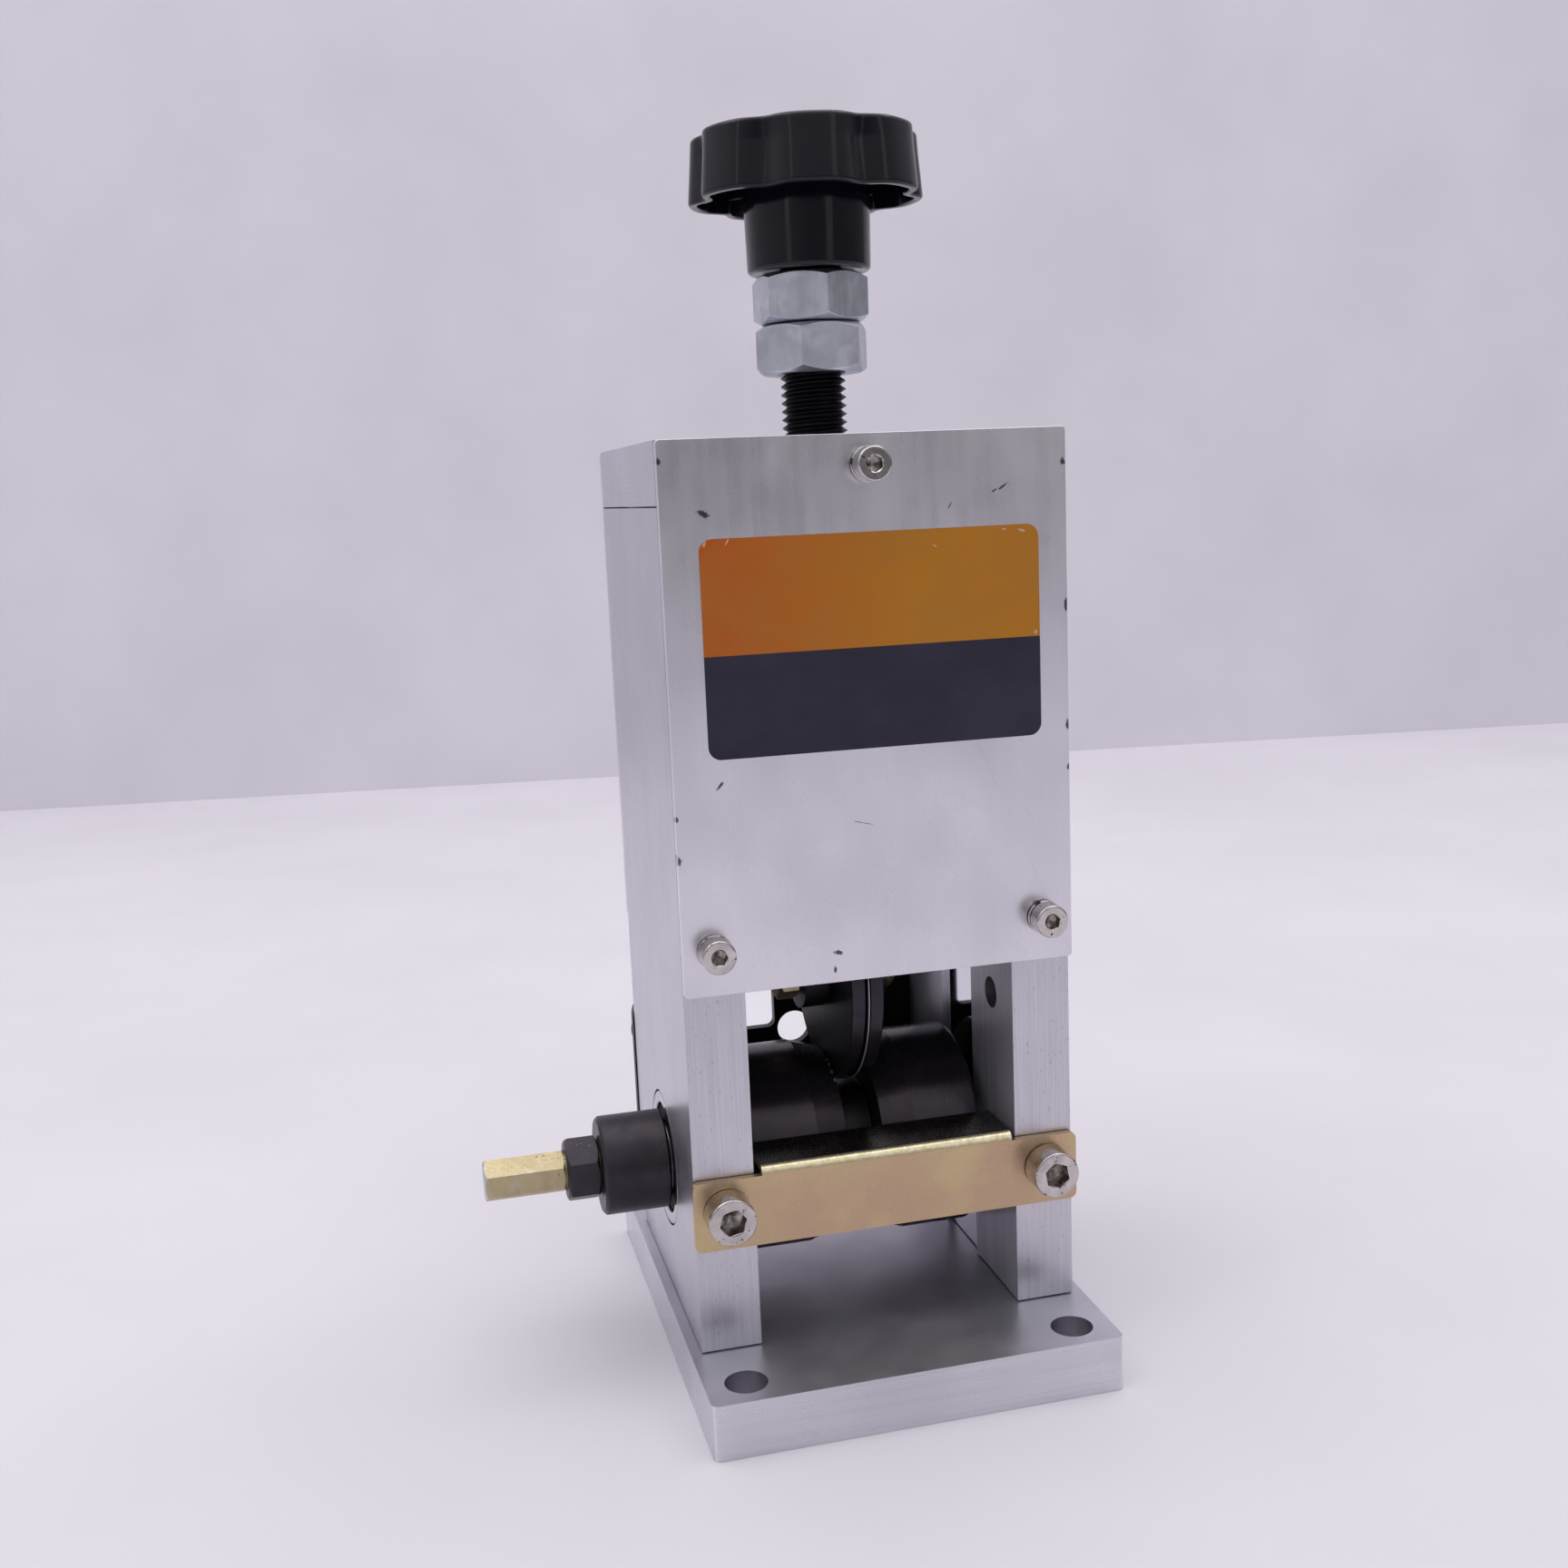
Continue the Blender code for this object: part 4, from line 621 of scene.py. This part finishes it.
# %% Covers
COVER_SCREWS = {"left": (-35.5, 99.5), "right": (35.5, 99.5), "top": (0, 194.7)}
for node, way, inward, sign, finish in (
    ("front_cover", "-y", "+y", -1, COVER),
    ("rear_cover", "+y", "-y", 1, REAR),
):
    sheet = put(prism(rectangle(84, 110.6, 0.8), 35.6, COVER_FACE), (0, 0, 145.5), way)
    cuts = [drilled((x, sign * COVER_FACE, z), inward, 4.6, 3) for x, z in COVER_SCREWS.values()]
    paint_edge_highlights(dress(node, sheet, finish, cuts, edge=0.45))

# %% [markdown]
# ## Screws and lock washers
# Socket screws are turned, their heads rounded at the rim, and the socket is
# broached over a drilled pilot, which leaves a cone at its floor. Button heads
# are domed. Each cover screw bites through a split washer, sprung apart at its
# cut.

# %% Screws and lock washers


def round_rim(radius, top, size, steps=5):
    """Profile points of a rounded rim at the top of a turned head."""
    angles = [math.pi / 2 * step / steps for step in range(steps + 1)]
    return [(radius - size + size * math.cos(a), top - size + size * math.sin(a)) for a in angles]


def socket(width, depth, top):
    """A broached hexagon with the pilot drill's cone at its floor."""
    pilot = width / 2 * 0.98
    cone = lathe([(0.05, top - depth - pilot * 0.5), (pilot, top - depth), (pilot, top - depth + 0.3)], 24)
    mouth = lathe([(width * 0.5, top - 0.25), (width * 0.6, top + 0.01), (width * 0.6, top + 1)], 48)
    return [prism(hexagon(width), top - depth, top + 2), cone, mouth]


def cap_head(radius, height, shank, length):
    """A cylindrical socket head's profile above and below its seat."""
    return [(shank, -length), (shank, 0), (radius - 0.2, 0), (radius, 0.2)] + round_rim(radius, height, 0.45)


def button_head(radius, height, shank, length):
    """A domed head's profile above and below its seat."""
    lip = height * 0.2
    angles = [math.pi / 2 * step / 10 for step in range(10)]
    dome = [(radius * math.cos(a), lip + (height - lip) * math.sin(a)) for a in angles]
    return [(shank, -length), (shank, 0), (radius - 0.3, 0), (radius, 0.3)] + dome


def dress_screw(node, profile, width, depth, finish, at, way, turn=0.0):
    """Dresses one screw, turned so that its socket lies as found. The socket gets a darker finish as painted shade.
    """
    top = profile[-1][1]
    cuts = [put(mesh, at, way, turn) for mesh in socket(width, depth, top)]
    screw = dress(node, put(lathe(profile), at, way, turn), finish, cuts, edge=0.08)
    outward = WAYS[way].to_3x3() @ Vector((0, 0, 1))

    def inside(middle, normal):
        arm = middle - Vector(at)
        rise = arm.dot(outward)
        return 0 < rise < top - 0.35 and (arm - outward * rise).length < width * 0.59

    # The socket's inner faces get the darker finish as painted shade.
    refinish(screw, BLACK if finish == BLACK else NICKEL_PAINTED_SHADE, inside)


def dress_lock_washer(node, at, way, turn):
    """Dresses one split washer: a square wire coiled once, its ends sprung apart."""
    steps = 60
    rings = []
    for step in range(steps + 1):
        share = step / steps
        angle = math.radians(turn + 10) + share * math.radians(340)
        rise = 0.12 * (share - 0.5)
        section = rounded([(2.35, 0.12, 0.12), (3.6, 0.12, 0.12), (3.6, 0.78, 0.12), (2.35, 0.78, 0.12)], 3)
        rings.append([(r * math.cos(angle), r * math.sin(angle), h + rise) for r, h in section])
    dress(node, put(lofted(rings, cap_low=True, cap_high=True), at, way), NICKEL)


small_head = cap_head(3.5, 4, 2, 11)
large_head = cap_head(5, 6, 3, 14)
for face, way, sign in (("front", "-y", -1), ("rear", "+y", 1)):
    for count, (place, (x, z)) in enumerate(COVER_SCREWS.items()):
        name = f"{face}_{place}"
        dress_screw(f"{name}_cover_screw", small_head, 3, 2.2, NICKEL, (x, sign * 39, z), way, 17 * count)
        dress_lock_washer(f"{name}_lock_washer", (x, sign * 37.8, z), way, 60 + 55 * count)
for place, x, turn in (("left", -35.5, 12), ("right", 35.5, 40)):
    dress_screw(f"bracket_screw_{place}", large_head, 5, 3.3, NICKEL, (x, -37.4, 43.7), "-y", turn)
for place, x in (("left", -35.6), ("right", 35.6)):
    button = button_head(6.8, 3.3, 3, 12)
    dress_screw(f"guide_screw_{place}", button, 4, 1.8, BLACK, (x, 38.4, 60.3), "+y", 20)
for place, (x, y) in FRAME_SCREWS.items():
    frame_head = cap_head(5, 6, 3, 18)
    dress_screw(f"top_screw_{place}", frame_head, 5, 3.3, NICKEL, (x, y, 194.8), "+z", 3 * x)
    dress_screw(f"base_screw_{place}", frame_head, 5, 3.3, NICKEL, (x, y, 6.3), "-z", 5 * y)
print("screws and washers dressed")

# %% [markdown]
# ## Front guard bracket
# One strip of yellow zinc plated steel. Between the side plates it carries a
# tab that is bent in over the roller, so fingers can't follow the cable. The
# bend is tight, so the plating is crazed; a brighter finish along the bend is a
# painted highlight, and a dark finish on the tab's top is painted shade.

# %% Front guard bracket


def bracket_mesh():
    """The bent strip: its flat outline and the tab's section share the bend line."""
    front, back, wing_top, lip = -37.1, -35.6, 50.4, 27.7
    arc = [(math.cos(a), math.sin(a)) for a in (math.pi - math.pi / 2 * step / 8 for step in range(9))]
    section = [(front + 1.9 + 1.9 * c, wing_top + 1.9 * s) for c, s in arc]
    section += [(-23.3, wing_top + 1.9), (-23.3, wing_top + 0.4)]
    section += [(front + 1.9 + 0.4 * c, wing_top + 0.4 * s) for c, s in reversed(arc)]
    shape = bmesh.new()
    loops = [[shape.verts.new((x, y, z)) for y, z in section] for x in (-lip, lip)]
    for index in range(len(section) - 1):
        shape.faces.new((loops[0][index], loops[1][index], loops[1][index + 1], loops[0][index + 1]))
    for loop in loops:
        shape.faces.new(loop)
    outline = rounded([
        (-42.5, 35.3, 1.5), (42.5, 35.3, 1.5), (42.5, wing_top, 1.5), (lip, wing_top, 0),
        (-lip, wing_top, 0), (-42.5, wing_top, 1.5),
    ])
    sheets = [[shape.verts.new((x, y, z)) for x, z in outline] for y in (front, back)]
    for sheet in sheets:
        shape.faces.new(sheet)
    for index in range(len(outline)):
        after = (index + 1) % len(outline)
        ends = (outline[index], outline[after])
        if not all(z == wing_top and abs(x) < lip + 0.01 for x, z in ends):
            shape.faces.new((sheets[0][index], sheets[0][after], sheets[1][after], sheets[1][index]))
    bmesh.ops.remove_doubles(shape, verts=shape.verts, dist=0.003)
    return mesh_of(shape)


cuts = [drilled((x, -37.1, 43.7), "+y", 6.6, 3) for x in (-35.5, 35.5)]
bracket = dress("front_bracket", bracket_mesh(), GOLD, cuts, edge=0.12, sharp=50)
# The bend's faces get the lighter gold finish, a painted highlight, with specks for the crazed plating.
refinish(bracket, GOLD_PAINTED_HIGHLIGHT, lambda middle, normal: middle.z > 50.4 and middle.y < -35 and 0.15 < normal.z < 0.97)
# The tab's top gets the dark zinc finish as painted shade.
refinish(bracket, ZINC_PAINTED_SHADE, lambda middle, normal: middle.z > 51.5 and normal.z > 0.97)
print("bracket:", len(bracket.data.polygons), "faces")

# %% [markdown]
# ## Wire guide plate
# The black rear plate steers the cable in. It is laser cut: one round hole for
# wires and two open notches for flat cable, with rounded upper corners.

# %% Wire guide plate
right = [
    (42.3, 35.0, 1.8), (42.3, 70.6, 6), (18.2, 70.6, 0), (18.2, 58, 1.8), (6.6, 58, 1.8), (6.6, 70.6, 0),
]
left = [(-x, z, radius) for x, z, radius in reversed(right)]
plate = put(prism([(x, -z) for x, z in rounded(right + left)], 35.6, 38.1), along="+y")
cuts = [drilled((x, 38.1, 60.3), "-y", 6.6, 4) for x in (-35.6, 35.6)]
cuts.append(drilled((-1.7, 38.1, 57.2), "-y", 8.4, 4))
dress("wire_guide_plate", plate, SHEET, cuts, edge=0.2)

# %% [markdown]
# ## Bearings
# A sealed ball bearing sits in each side plate. Its rings are ground steel and
# the dished rubber seal between them is set a little back.

# %% Bearings


def ring_section(inner, outer, low, high, size=0.35):
    """The closed, rounded section of a ring in radius and height."""
    return rounded([(inner, low, size), (outer, low, size), (outer, high, size), (inner, high, size)], 4)


for side, x, way in (("left", -42, "+x"), ("right", 42, "-x")):
    for name, section, finish in (
        ("outer_ring", ring_section(12.4, 15, 0, 9), GROUND),
        ("seal", rounded([(8.2, 0.6, 0.2), (9.4, 1.1, 0.4), (11, 1.1, 0.4), (12.1, 0.6, 0.2), (12.1, 8.4, 0.2),
                          (8.2, 8.4, 0.2)], 3), RUBBER),
        ("inner_ring", ring_section(5.3, 7.9, 0, 9), GROUND),
    ):
        dress(f"{side}_bearing_{name}", put(lathe(section, ring=True), (x, 0, SHAFT_Z), way), finish)

# %% [markdown]
# ## Drive roller, shaft and spacers
# The roller is turned from bar and blackened. Its two drums pull the cable
# along. Their shoulders slope down to a narrow groove, in which the cutter runs,
# and the groove's edge is worn bright in a few spots. A set screw locks the
# roller to the stepped shaft.

# %% Drive roller, shaft and spacers
right = [
    (12.3, 4.0, 0.3), (20.8, 4.0, 0.3), (22.6, 10.0, 2), (23, 11.2, 0.6), (23, 26.5, 1.2), (6.3, 26.5, 0.3),
]
section = rounded([(r, -x, size) for r, x, size in reversed(right)] + right, 5)
roller_at = (0, 0, SHAFT_Z)
SET_SCREW = Matrix.Translation((18.5, 0, SHAFT_Z)) @ Matrix.Rotation(math.radians(-152), 4, "X")
hole = prism(circle(2.8), 6, 25)
hole.transform(SET_SCREW)
roller = dress("drive_roller", put(lathe(section, 128, ring=True), roller_at, "+x"), TURNED, [hole])


def in_groove(middle, normal):
    return abs(middle.x) < 4.1 and math.hypot(middle.y, middle.z - SHAFT_Z) < 20


# The groove's floor and walls get the darker finish as painted shade.
refinish(roller, BLACK_STEEL_PAINTED_SHADE, in_groove)
grub = lathe([(2.2, 6.3), (2.5, 6.6), (2.5, 14.0), (2.2, 14.3)], 48)
grub_socket = socket(2.5, 4.4, 14.3)
for mesh in (grub, *grub_socket):
    mesh.transform(SET_SCREW)
dress("roller_set_screw", grub, BLACK, grub_socket)
shaft = [(4.7, -50.5), (5, -50.2), (5, -26.5), (6, -26.5), (6, 26.5), (5, 26.5), (5, 41.3), (4.65, 41.65)]
dress("drive_shaft", put(lathe(shaft), roller_at, "+x"), GROUND)
for side, way in (("left", "-x"), ("right", "+x")):
    spacer = lathe(ring_section(5.3, 8, 26.8, 32.7), ring=True)
    dress(f"{side}_roller_spacer", put(spacer, roller_at, way), GROUND)
print("drive line dressed")

# %% [markdown]
# ## Hexagons: nuts and the drive adapter
# A nut is a slice of hexagon bar whose corners are turned off at 30 degrees,
# which draws the arcs on its flats. Intersecting the bar with a turned blank
# cuts it the same way as the lathe does.

# %% Nuts and drive adapter
NUT_FACE_SHARE = 0.95
ADAPTER_TURN = 118


def dress_nut(node, width, height, hole, finish, at, way, turn):
    """Dresses one hex nut standing on a point."""
    face = width / 2 * NUT_FACE_SHARE
    reach = width / math.sqrt(3) + 0.5
    slope = (reach - face) * math.tan(math.pi / 6)
    blank = lathe([(face, 0), (reach, slope), (reach, height - slope), (face, height)], 128)
    bar = prism(hexagon(width), -1, height + 1)
    inner, outer = hole / 2, hole / 2 + 0.5
    mouth = [(outer, -0.01), (inner, 0.5), (inner, height - 0.5), (outer, height + 0.01)]
    bore = lathe([(outer, -1)] + mouth + [(outer, height + 1)], 96)
    meshes = [put(mesh, at, way, turn) for mesh in (bar, blank, bore)]
    dress(node, meshes[0], finish, [meshes[2]], within=[meshes[1]], edge=0.12, sharp=22)


dress_nut("stop_nut", 22, 10.2, 14.6, ZINC, (0, 0, 214.8), "+z", 5.4)
dress_nut("knob_lock_nut", 22, 10.2, 14.6, ZINC, (0, 0, 225.3), "+z", 31.9)
dress_nut("axle_nut", 13, 5, 8.6, GOLD_BAR, (-9.8, 0, AXLE_Z), "-x", 0)
dress_nut("adapter_lock_nut", 13, 7.3, 8.6, BLACK, (-57.4, 0, SHAFT_Z), "-x", ADAPTER_TURN)
sleeve = [(5.3, 42.3), (10.6, 42.3), (11, 42.7), (11, 56.4), (10.3, 57.1), (4.3, 57.1), (4.3, 50.8), (5.3, 50.8)]
dress("coupling_sleeve", put(lathe(sleeve, ring=True), roller_at, "-x"), BLACK, edge=0.12, sharp=30)
blank = lathe([(4, 50.9), (4, 65.0), (4.15, 65.0), (5.3, 65.7), (5.3, 82.0), (4.0, 82.8)], 96)
bar = put(prism(hexagon(8.4), 50, 84), roller_at, "-x", ADAPTER_TURN)
bar = dress("hex_adapter", bar, GOLD_BAR, within=[put(blank, roller_at, "-x")], edge=0.15, sharp=22)
FLATS = [math.radians(ADAPTER_TURN + 30 + 60 * k) for k in range(6)]
FLATS = [Vector((0, math.sin(turn), math.cos(turn))) for turn in FLATS]
# The turned corners at the adapter's end get the lighter gold finish, a painted highlight.
refinish(bar, GOLD_PAINTED_HIGHLIGHT, lambda middle, normal: middle.x < -65.5 and max(normal.dot(flat) for flat in FLATS) < 0.995)
refinish(bar, ZINC, lambda middle, normal: middle.x < -81.8)
print("nuts and adapter dressed")

# %% [markdown]
# ## Cutter carriage
# The carriage is milled from one black block: a bar that fills the slots of both
# side plates, with two fork arms below that hold the cutter's axle. A slotted
# zinc plate on top traps the rod's end.

# %% Cutter carriage
ARM_RADIUS = 9.5
around = [math.pi * (1 + step / 24) for step in range(25)]
arm = [(ARM_RADIUS, 112.5), (-ARM_RADIUS, 112.5)]
arm += [(ARM_RADIUS * math.cos(a), AXLE_Z + ARM_RADIUS * math.sin(a)) for a in around]
arms = []
for low, high in ((-9.5, -4.0), (4.0, 9.5)):
    mesh = prism(arm, low, high)
    mesh.transform(Matrix.Rotation(math.pi / 2, 4, "Z") @ Matrix.Rotation(math.pi / 2, 4, "X"))
    arms.append(mesh)
cuts = [drilled((-9.5, 0, AXLE_Z), "+x", 8.6, 20), drilled((0, 0, 137), "-z", 13.6, 6.6)]
cuts += [drilled((x, 0, 137), "-z", 4.6, 8) for x in (-12, 12)]
block = prism(rectangle(59.6, 19.4), 112, 137)
dress("cutter_carriage", block, BLACK, cuts, plus=arms, edge=0.35)
corners = rounded([(-17, -9.7, 2), (17, -9.7, 2), (17, 9.7, 2), (5, 9.7, 0)])
corners += [(5 * math.cos(a), 5 * math.sin(a)) for a in (-math.pi * step / 24 for step in range(25))]
corners += rounded([(-5, 9.7, 0), (-17, 9.7, 2), (-17, -9.7, 0)])[:-1]
cuts = [drilled((x, 0, 140.3), "-z", 4.6, 4) for x in (-12, 12)]
dress("rod_retainer", prism(corners, 137.3, 140.3), ZINC, cuts, edge=0.25)
for place, x in (("left", -12), ("right", 12)):
    button = button_head(3.5, 2.2, 2, 8)
    dress_screw(f"retainer_screw_{place}", button, 3, 1.2, NICKEL, (x, 0, 140.6), "+z", 25)
axle = button_head(7, 4.4, 4, 26)
dress_screw("axle_bolt", axle, 5, 2.4, GOLD_BAR, (9.8, 0, AXLE_Z), "+x")
print("carriage dressed")

# %% [markdown]
# ## Cutter wheel
# A thin blade of hardened steel, ground to an edge from both sides and honed
# bright at its rim, is clamped between two black flanges and turns on a bronze
# bush.

# %% Cutter wheel
axle_at = (0, 0, AXLE_Z)
section = [(6.3, 0.6), (24.9, 0.6), (26.15, 0.2), (26.45, 0.03)]
section = [(radius, -x) for radius, x in section] + section[::-1]
blade = dress("cutter_blade", put(lathe(section, 160, ring=True), axle_at, "+x"), BLADE)
refinish(blade, HONED, lambda middle, normal: math.hypot(middle.y, middle.z - AXLE_Z) > 26.2)
for side, way in (("left", "-x"), ("right", "+x")):
    section = rounded([(6.3, 0.65, 0.05), (25.6, 0.65, 0.05), (25.6, 3.6, 0.4), (6.3, 3.6, 0.2)], 4)
    flange = dress(f"{side}_blade_flange", put(lathe(section, 160, ring=True), axle_at, way), RIM)
    # The flanges' flat side faces get the darker finish as painted shade.
    refinish(flange, BLACK_STEEL_PAINTED_SHADE, lambda middle, normal: abs(normal.x) > 0.9)
bush = lathe(ring_section(4.3, 6, -3.7, 3.7, 0.2), ring=True)
dress("cutter_bush", put(bush, axle_at, "+x"), BRONZE)

# %% [markdown]
# ## Threaded rod
# The rod carries a real thread, one turn every 1.75 mm, with 60 degree flanks.
# It is drawn as one helical strip of four rows per turn and trimmed flat at both
# ends. Below it, the plain neck and button sit in the carriage.

# %% Threaded rod
PITCH = 1.75


def thread_mesh(low, high, crest, facets=72):
    """A right-hand V thread between two heights."""
    root = crest - 0.61 * PITCH
    rows = [(0.0, root), (0.1, root), (0.46, crest), (0.58, crest)]
    turns = int((high - low) / PITCH) + 4
    shape = bmesh.new()
    columns = []
    for step, (cos_side, sin_side) in enumerate(circle(1, facets)):
        start = low - 2 * PITCH + PITCH * step / facets
        points = [(start + PITCH * (turn + share), radius) for turn in range(turns) for share, radius in rows]
        columns.append([shape.verts.new((radius * cos_side, radius * sin_side, z)) for z, radius in points])
    closing = columns[0][len(rows):]
    for here, after in zip(columns, columns[1:] + [closing]):
        for row in range(len(after) - 1):
            shape.faces.new((here[row], after[row], after[row + 1], here[row + 1]))
    for height, way in ((low, -1), (high, 1)):
        everything = shape.verts[:] + shape.edges[:] + shape.faces[:]
        plane = {"plane_co": (0, 0, height), "plane_no": (0, 0, way)}
        bmesh.ops.bisect_plane(shape, geom=everything, clear_outer=True, **plane)
    bmesh.ops.holes_fill(shape, edges=[edge for edge in shape.edges if edge.is_boundary])
    return mesh_of(shape)


neck = [(6.3, 130.7), (6.5, 130.9), (6.5, 136.5), (6.3, 136.7), (4.7, 136.7), (4.7, 140.7), (6.0, 140.7)]
rod = joined([thread_mesh(140.6, 254, 7), lathe(neck, 72)])
rod = dress("threaded_rod", rod, THREAD, sharp=25)
print("thread:", len(rod.data.polygons), "faces")

# %% [markdown]
# ## Star knob
# The knob is one moulding: a hollow shell with seven shallow grooves round a
# drafted rim that fade towards the crown, open below, with a hub in the middle
# and a rib from the hub to each groove. The camera looks up into it, so the
# inside is drawn as carefully as the outside, with the rounded edges that a
# mould leaves.

# %% Star knob
LOBES = 7
KNOB_FACETS = LOBES * 24
KNOB_AT, KNOB_TURN = (0, 0, 235.8), 27.9
GROOVE_DEPTH = 2.8
RIM_RADIUS = 25.2
RIM_LOW, CEILING, CROWN = 14.6, 24.6, 28.2
LEAN = math.tan(math.radians(4.5))


def lobed(inset, height, share=1.0, blend=1.0):
    """One ring of the knob's outline, moved in, or scaled and blended towards a circle."""
    ring = []
    for step in range(KNOB_FACETS):
        angle = 2 * math.pi * step / KNOB_FACETS
        groove = blend * GROOVE_DEPTH * (0.5 + 0.5 * math.cos(LOBES * angle)) ** 3
        radius = share * (RIM_RADIUS - groove - inset)
        ring.append((radius * math.cos(angle), radius * math.sin(angle), height))
    return ring


def knob_mesh():
    """The moulded shell, from the crown's middle out, down the rim, and in to the hub."""
    crown_inset = LEAN * (CROWN - 1.1 - RIM_LOW)
    rings = []
    for share in (0.02, 0.2, 0.38, 0.55, 0.7, 0.82, 0.9, 0.96):
        blend = 0.6 * max(0.0, (share - 0.5) * 2) ** 1.5
        rings.append(lobed(crown_inset + 1.1, CROWN + 1.6 * (1 - share ** 2), share, blend))
    for step in range(7):
        angle = math.pi / 2 * (1 - step / 6)
        inset = crown_inset + 1.1 * (1 - math.cos(angle))
        rings.append(lobed(inset, CROWN - 1.1 + 1.1 * math.sin(angle), blend=0.6 + 0.03 * step))
    for step in range(1, 5):
        height = CROWN - 1.1 - 0.9 * step
        rings.append(lobed(LEAN * (height - RIM_LOW), height, blend=0.78 + 0.055 * step))
    lip = [(0.0, 0.9), (0.05, 0.45), (0.3, 0.1), (0.7, 0.0), (1.4, 0.0), (1.8, 0.15), (2.0, 0.5)]
    rings += [lobed(inset, RIM_LOW + height) for inset, height in lip]
    for inset, height in ((0.0, -1.6), (0.25, -0.7), (0.8, -0.2), (1.6, 0.0)):
        rings.append(lobed(2.0 + crown_inset + inset, CEILING + height))
    hub = [(15.2, 24.3), (14.2, 24.0), (13.7, 23.2), (13.6, 22.2), (13.22, 1.1), (13.1, 0.5), (12.7, 0.1)]
    hub += [(12.2, 0.0), (11.4, 0.0), (11.1, 0.2), (7.6, 0.3), (7.3, 0.6), (7.3, 18.5)]
    rings += [[(x, y, height) for x, y in circle(radius, KNOB_FACETS)] for radius, height in hub]
    return lofted(rings, cap_low=True, cap_high=True)


ribs = []
for lobe in range(LOBES):
    rib = prism(rectangle(9.0, 1.6, 0.3), CEILING - 7, CEILING + 0.5)
    rib.transform(Matrix.Rotation(2 * math.pi * lobe / LOBES, 4, "Z") @ Matrix.Translation((17.2, 0, 0)))
    ribs.append(put(rib, KNOB_AT, "+z", KNOB_TURN))
knob = dress("star_knob", put(knob_mesh(), KNOB_AT, "+z", KNOB_TURN), PHENOLIC, plus=ribs)
print("knob:", len(knob.data.polygons), "faces")

# %% [markdown]
# ## Label
# A bare two-tone film with rounded corners is stuck to the front cover.

# %% Label
film = put(prism(rectangle(70.4, 43.3, 2.6), 37.45, 37.62), (0.6, 0, 159.95), "-y")
film.transform(Matrix.Scale(MM, 4))
label = bpy.data.objects.new("front_label", film)
bpy.context.scene.collection.objects.link(label)
label.data.materials.append(PRINT)
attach(label, "stand")

# %% [markdown]
# ## Floor and backdrop
# The tool stands on pale paper before a pale board. Both are matt, so the floor
# keeps the tool's soft shadow.

# %% Floor and backdrop


def paper(name, light, dark):
    """Matt paper that drifts a little between two tones."""
    material, tree, shader = start_material(name, Specular_IOR_Level=0.2)
    drift = grain(tree, (160, 160, 160), 3.0)
    tone = add(tree, "MapRange", {0: drift, 1: 0.35, 2: 0.65})
    colour = add(tree, "Mix", {0: tone, 6: dark, 7: light}, 2, data_type="RGBA")
    fibre = grain(tree, (1.5, 1.5, 1.5), 3.0)
    rough = add(tree, "MapRange", {0: fibre, 3: 0.75, 4: 0.95})
    finish_material(tree, shader, colour, rough, fibre, 0.02)
    return material


def stage_sheet(name, corners, material):
    """One flat sheet of the set through four corners in mm."""
    mesh = bpy.data.meshes.new(name)
    mesh.from_pydata([tuple(value * MM for value in corner) for corner in corners], [], [(0, 1, 2, 3)])
    sheet = bpy.data.objects.new(name, mesh)
    bpy.context.scene.collection.objects.link(sheet)
    sheet.data.materials.append(material)


turn = math.radians(-9)
back = [Vector((x, 790, z)) for x, z in ((-1500, -1), (1500, -1), (1500, 1500), (-1500, 1500))]
back = [Matrix.Rotation(turn, 3, "Z") @ corner for corner in back]
stage_sheet("backdrop", back, paper("pale_board", "#E2DEE6", "#DBD7DF"))
floor = [(-2000, -2000, -0.05), (2000, -2000, -0.05), (2000, 2000, -0.05), (-2000, 2000, -0.05)]
stage_sheet("floor", floor, paper("pale_floor_paper", "#DCD8DE", "#D7D3D9"))

# %% [markdown]
# ## Light
# A large soft light hangs above and a little behind, and two weak upright
# strips in front draw the vertical gleams on the knob and the nuts. The room is
# dim at eye level, so the cover's top mirrors a dark room and its lower part
# the bright floor.

# %% Light


def panel(name, at, aim, size_mm, watts):
    """A white rectangular area light aimed at a point."""
    light = bpy.data.lights.new(name, "AREA")
    light.shape = "RECTANGLE"
    light.size, light.size_y = (value * MM for value in size_mm)
    light.energy = watts
    lamp = bpy.data.objects.new(name, light)
    bpy.context.scene.collection.objects.link(lamp)
    way = Vector(at) - Vector(aim)
    lamp.matrix_world = Matrix.Translation(Vector(at) * MM) @ way.to_track_quat("Z", "Y").to_matrix().to_4x4()


panel("soft_light", (-50, 130, 1500), (-50, 120, 0), (2600, 1300), 14.0)
panel("right_strip", (750, -1620, 950), (0, 0, 250), (420, 1400), 0.8)
panel("left_strip", (-1400, -1150, 950), (0, 0, 250), (240, 1400), 0.5)
world = bpy.data.worlds.new("room")
world.use_nodes = True
room = world.node_tree
way = add(room, "TexCoord", output="Generated")
up = add(room, "VectorMath", {0: way, 1: (0, 0, 1)}, "Value", operation="DOT_PRODUCT")
aside = add(room, "VectorMath", {0: way, 1: (-0.9, 0.4, 0)}, "Value", operation="DOT_PRODUCT")
eye_level = add(room, "MapRange", {0: aside, 1: -0.2, 2: 0.9, 3: 0.16, 4: 0.45})
height = add(room, "MapRange", {0: up, 1: 0.05, 2: 0.75})
strength = add(room, "Mix", {0: height, 2: eye_level, 3: 0.95})
room.links.new(strength, room.nodes["Background"].inputs["Strength"])
room.nodes["Background"].inputs["Color"].default_value = linear("#F8F6FC")
bpy.context.scene.world = world
bpy.context.scene.view_settings.view_transform = "Standard"
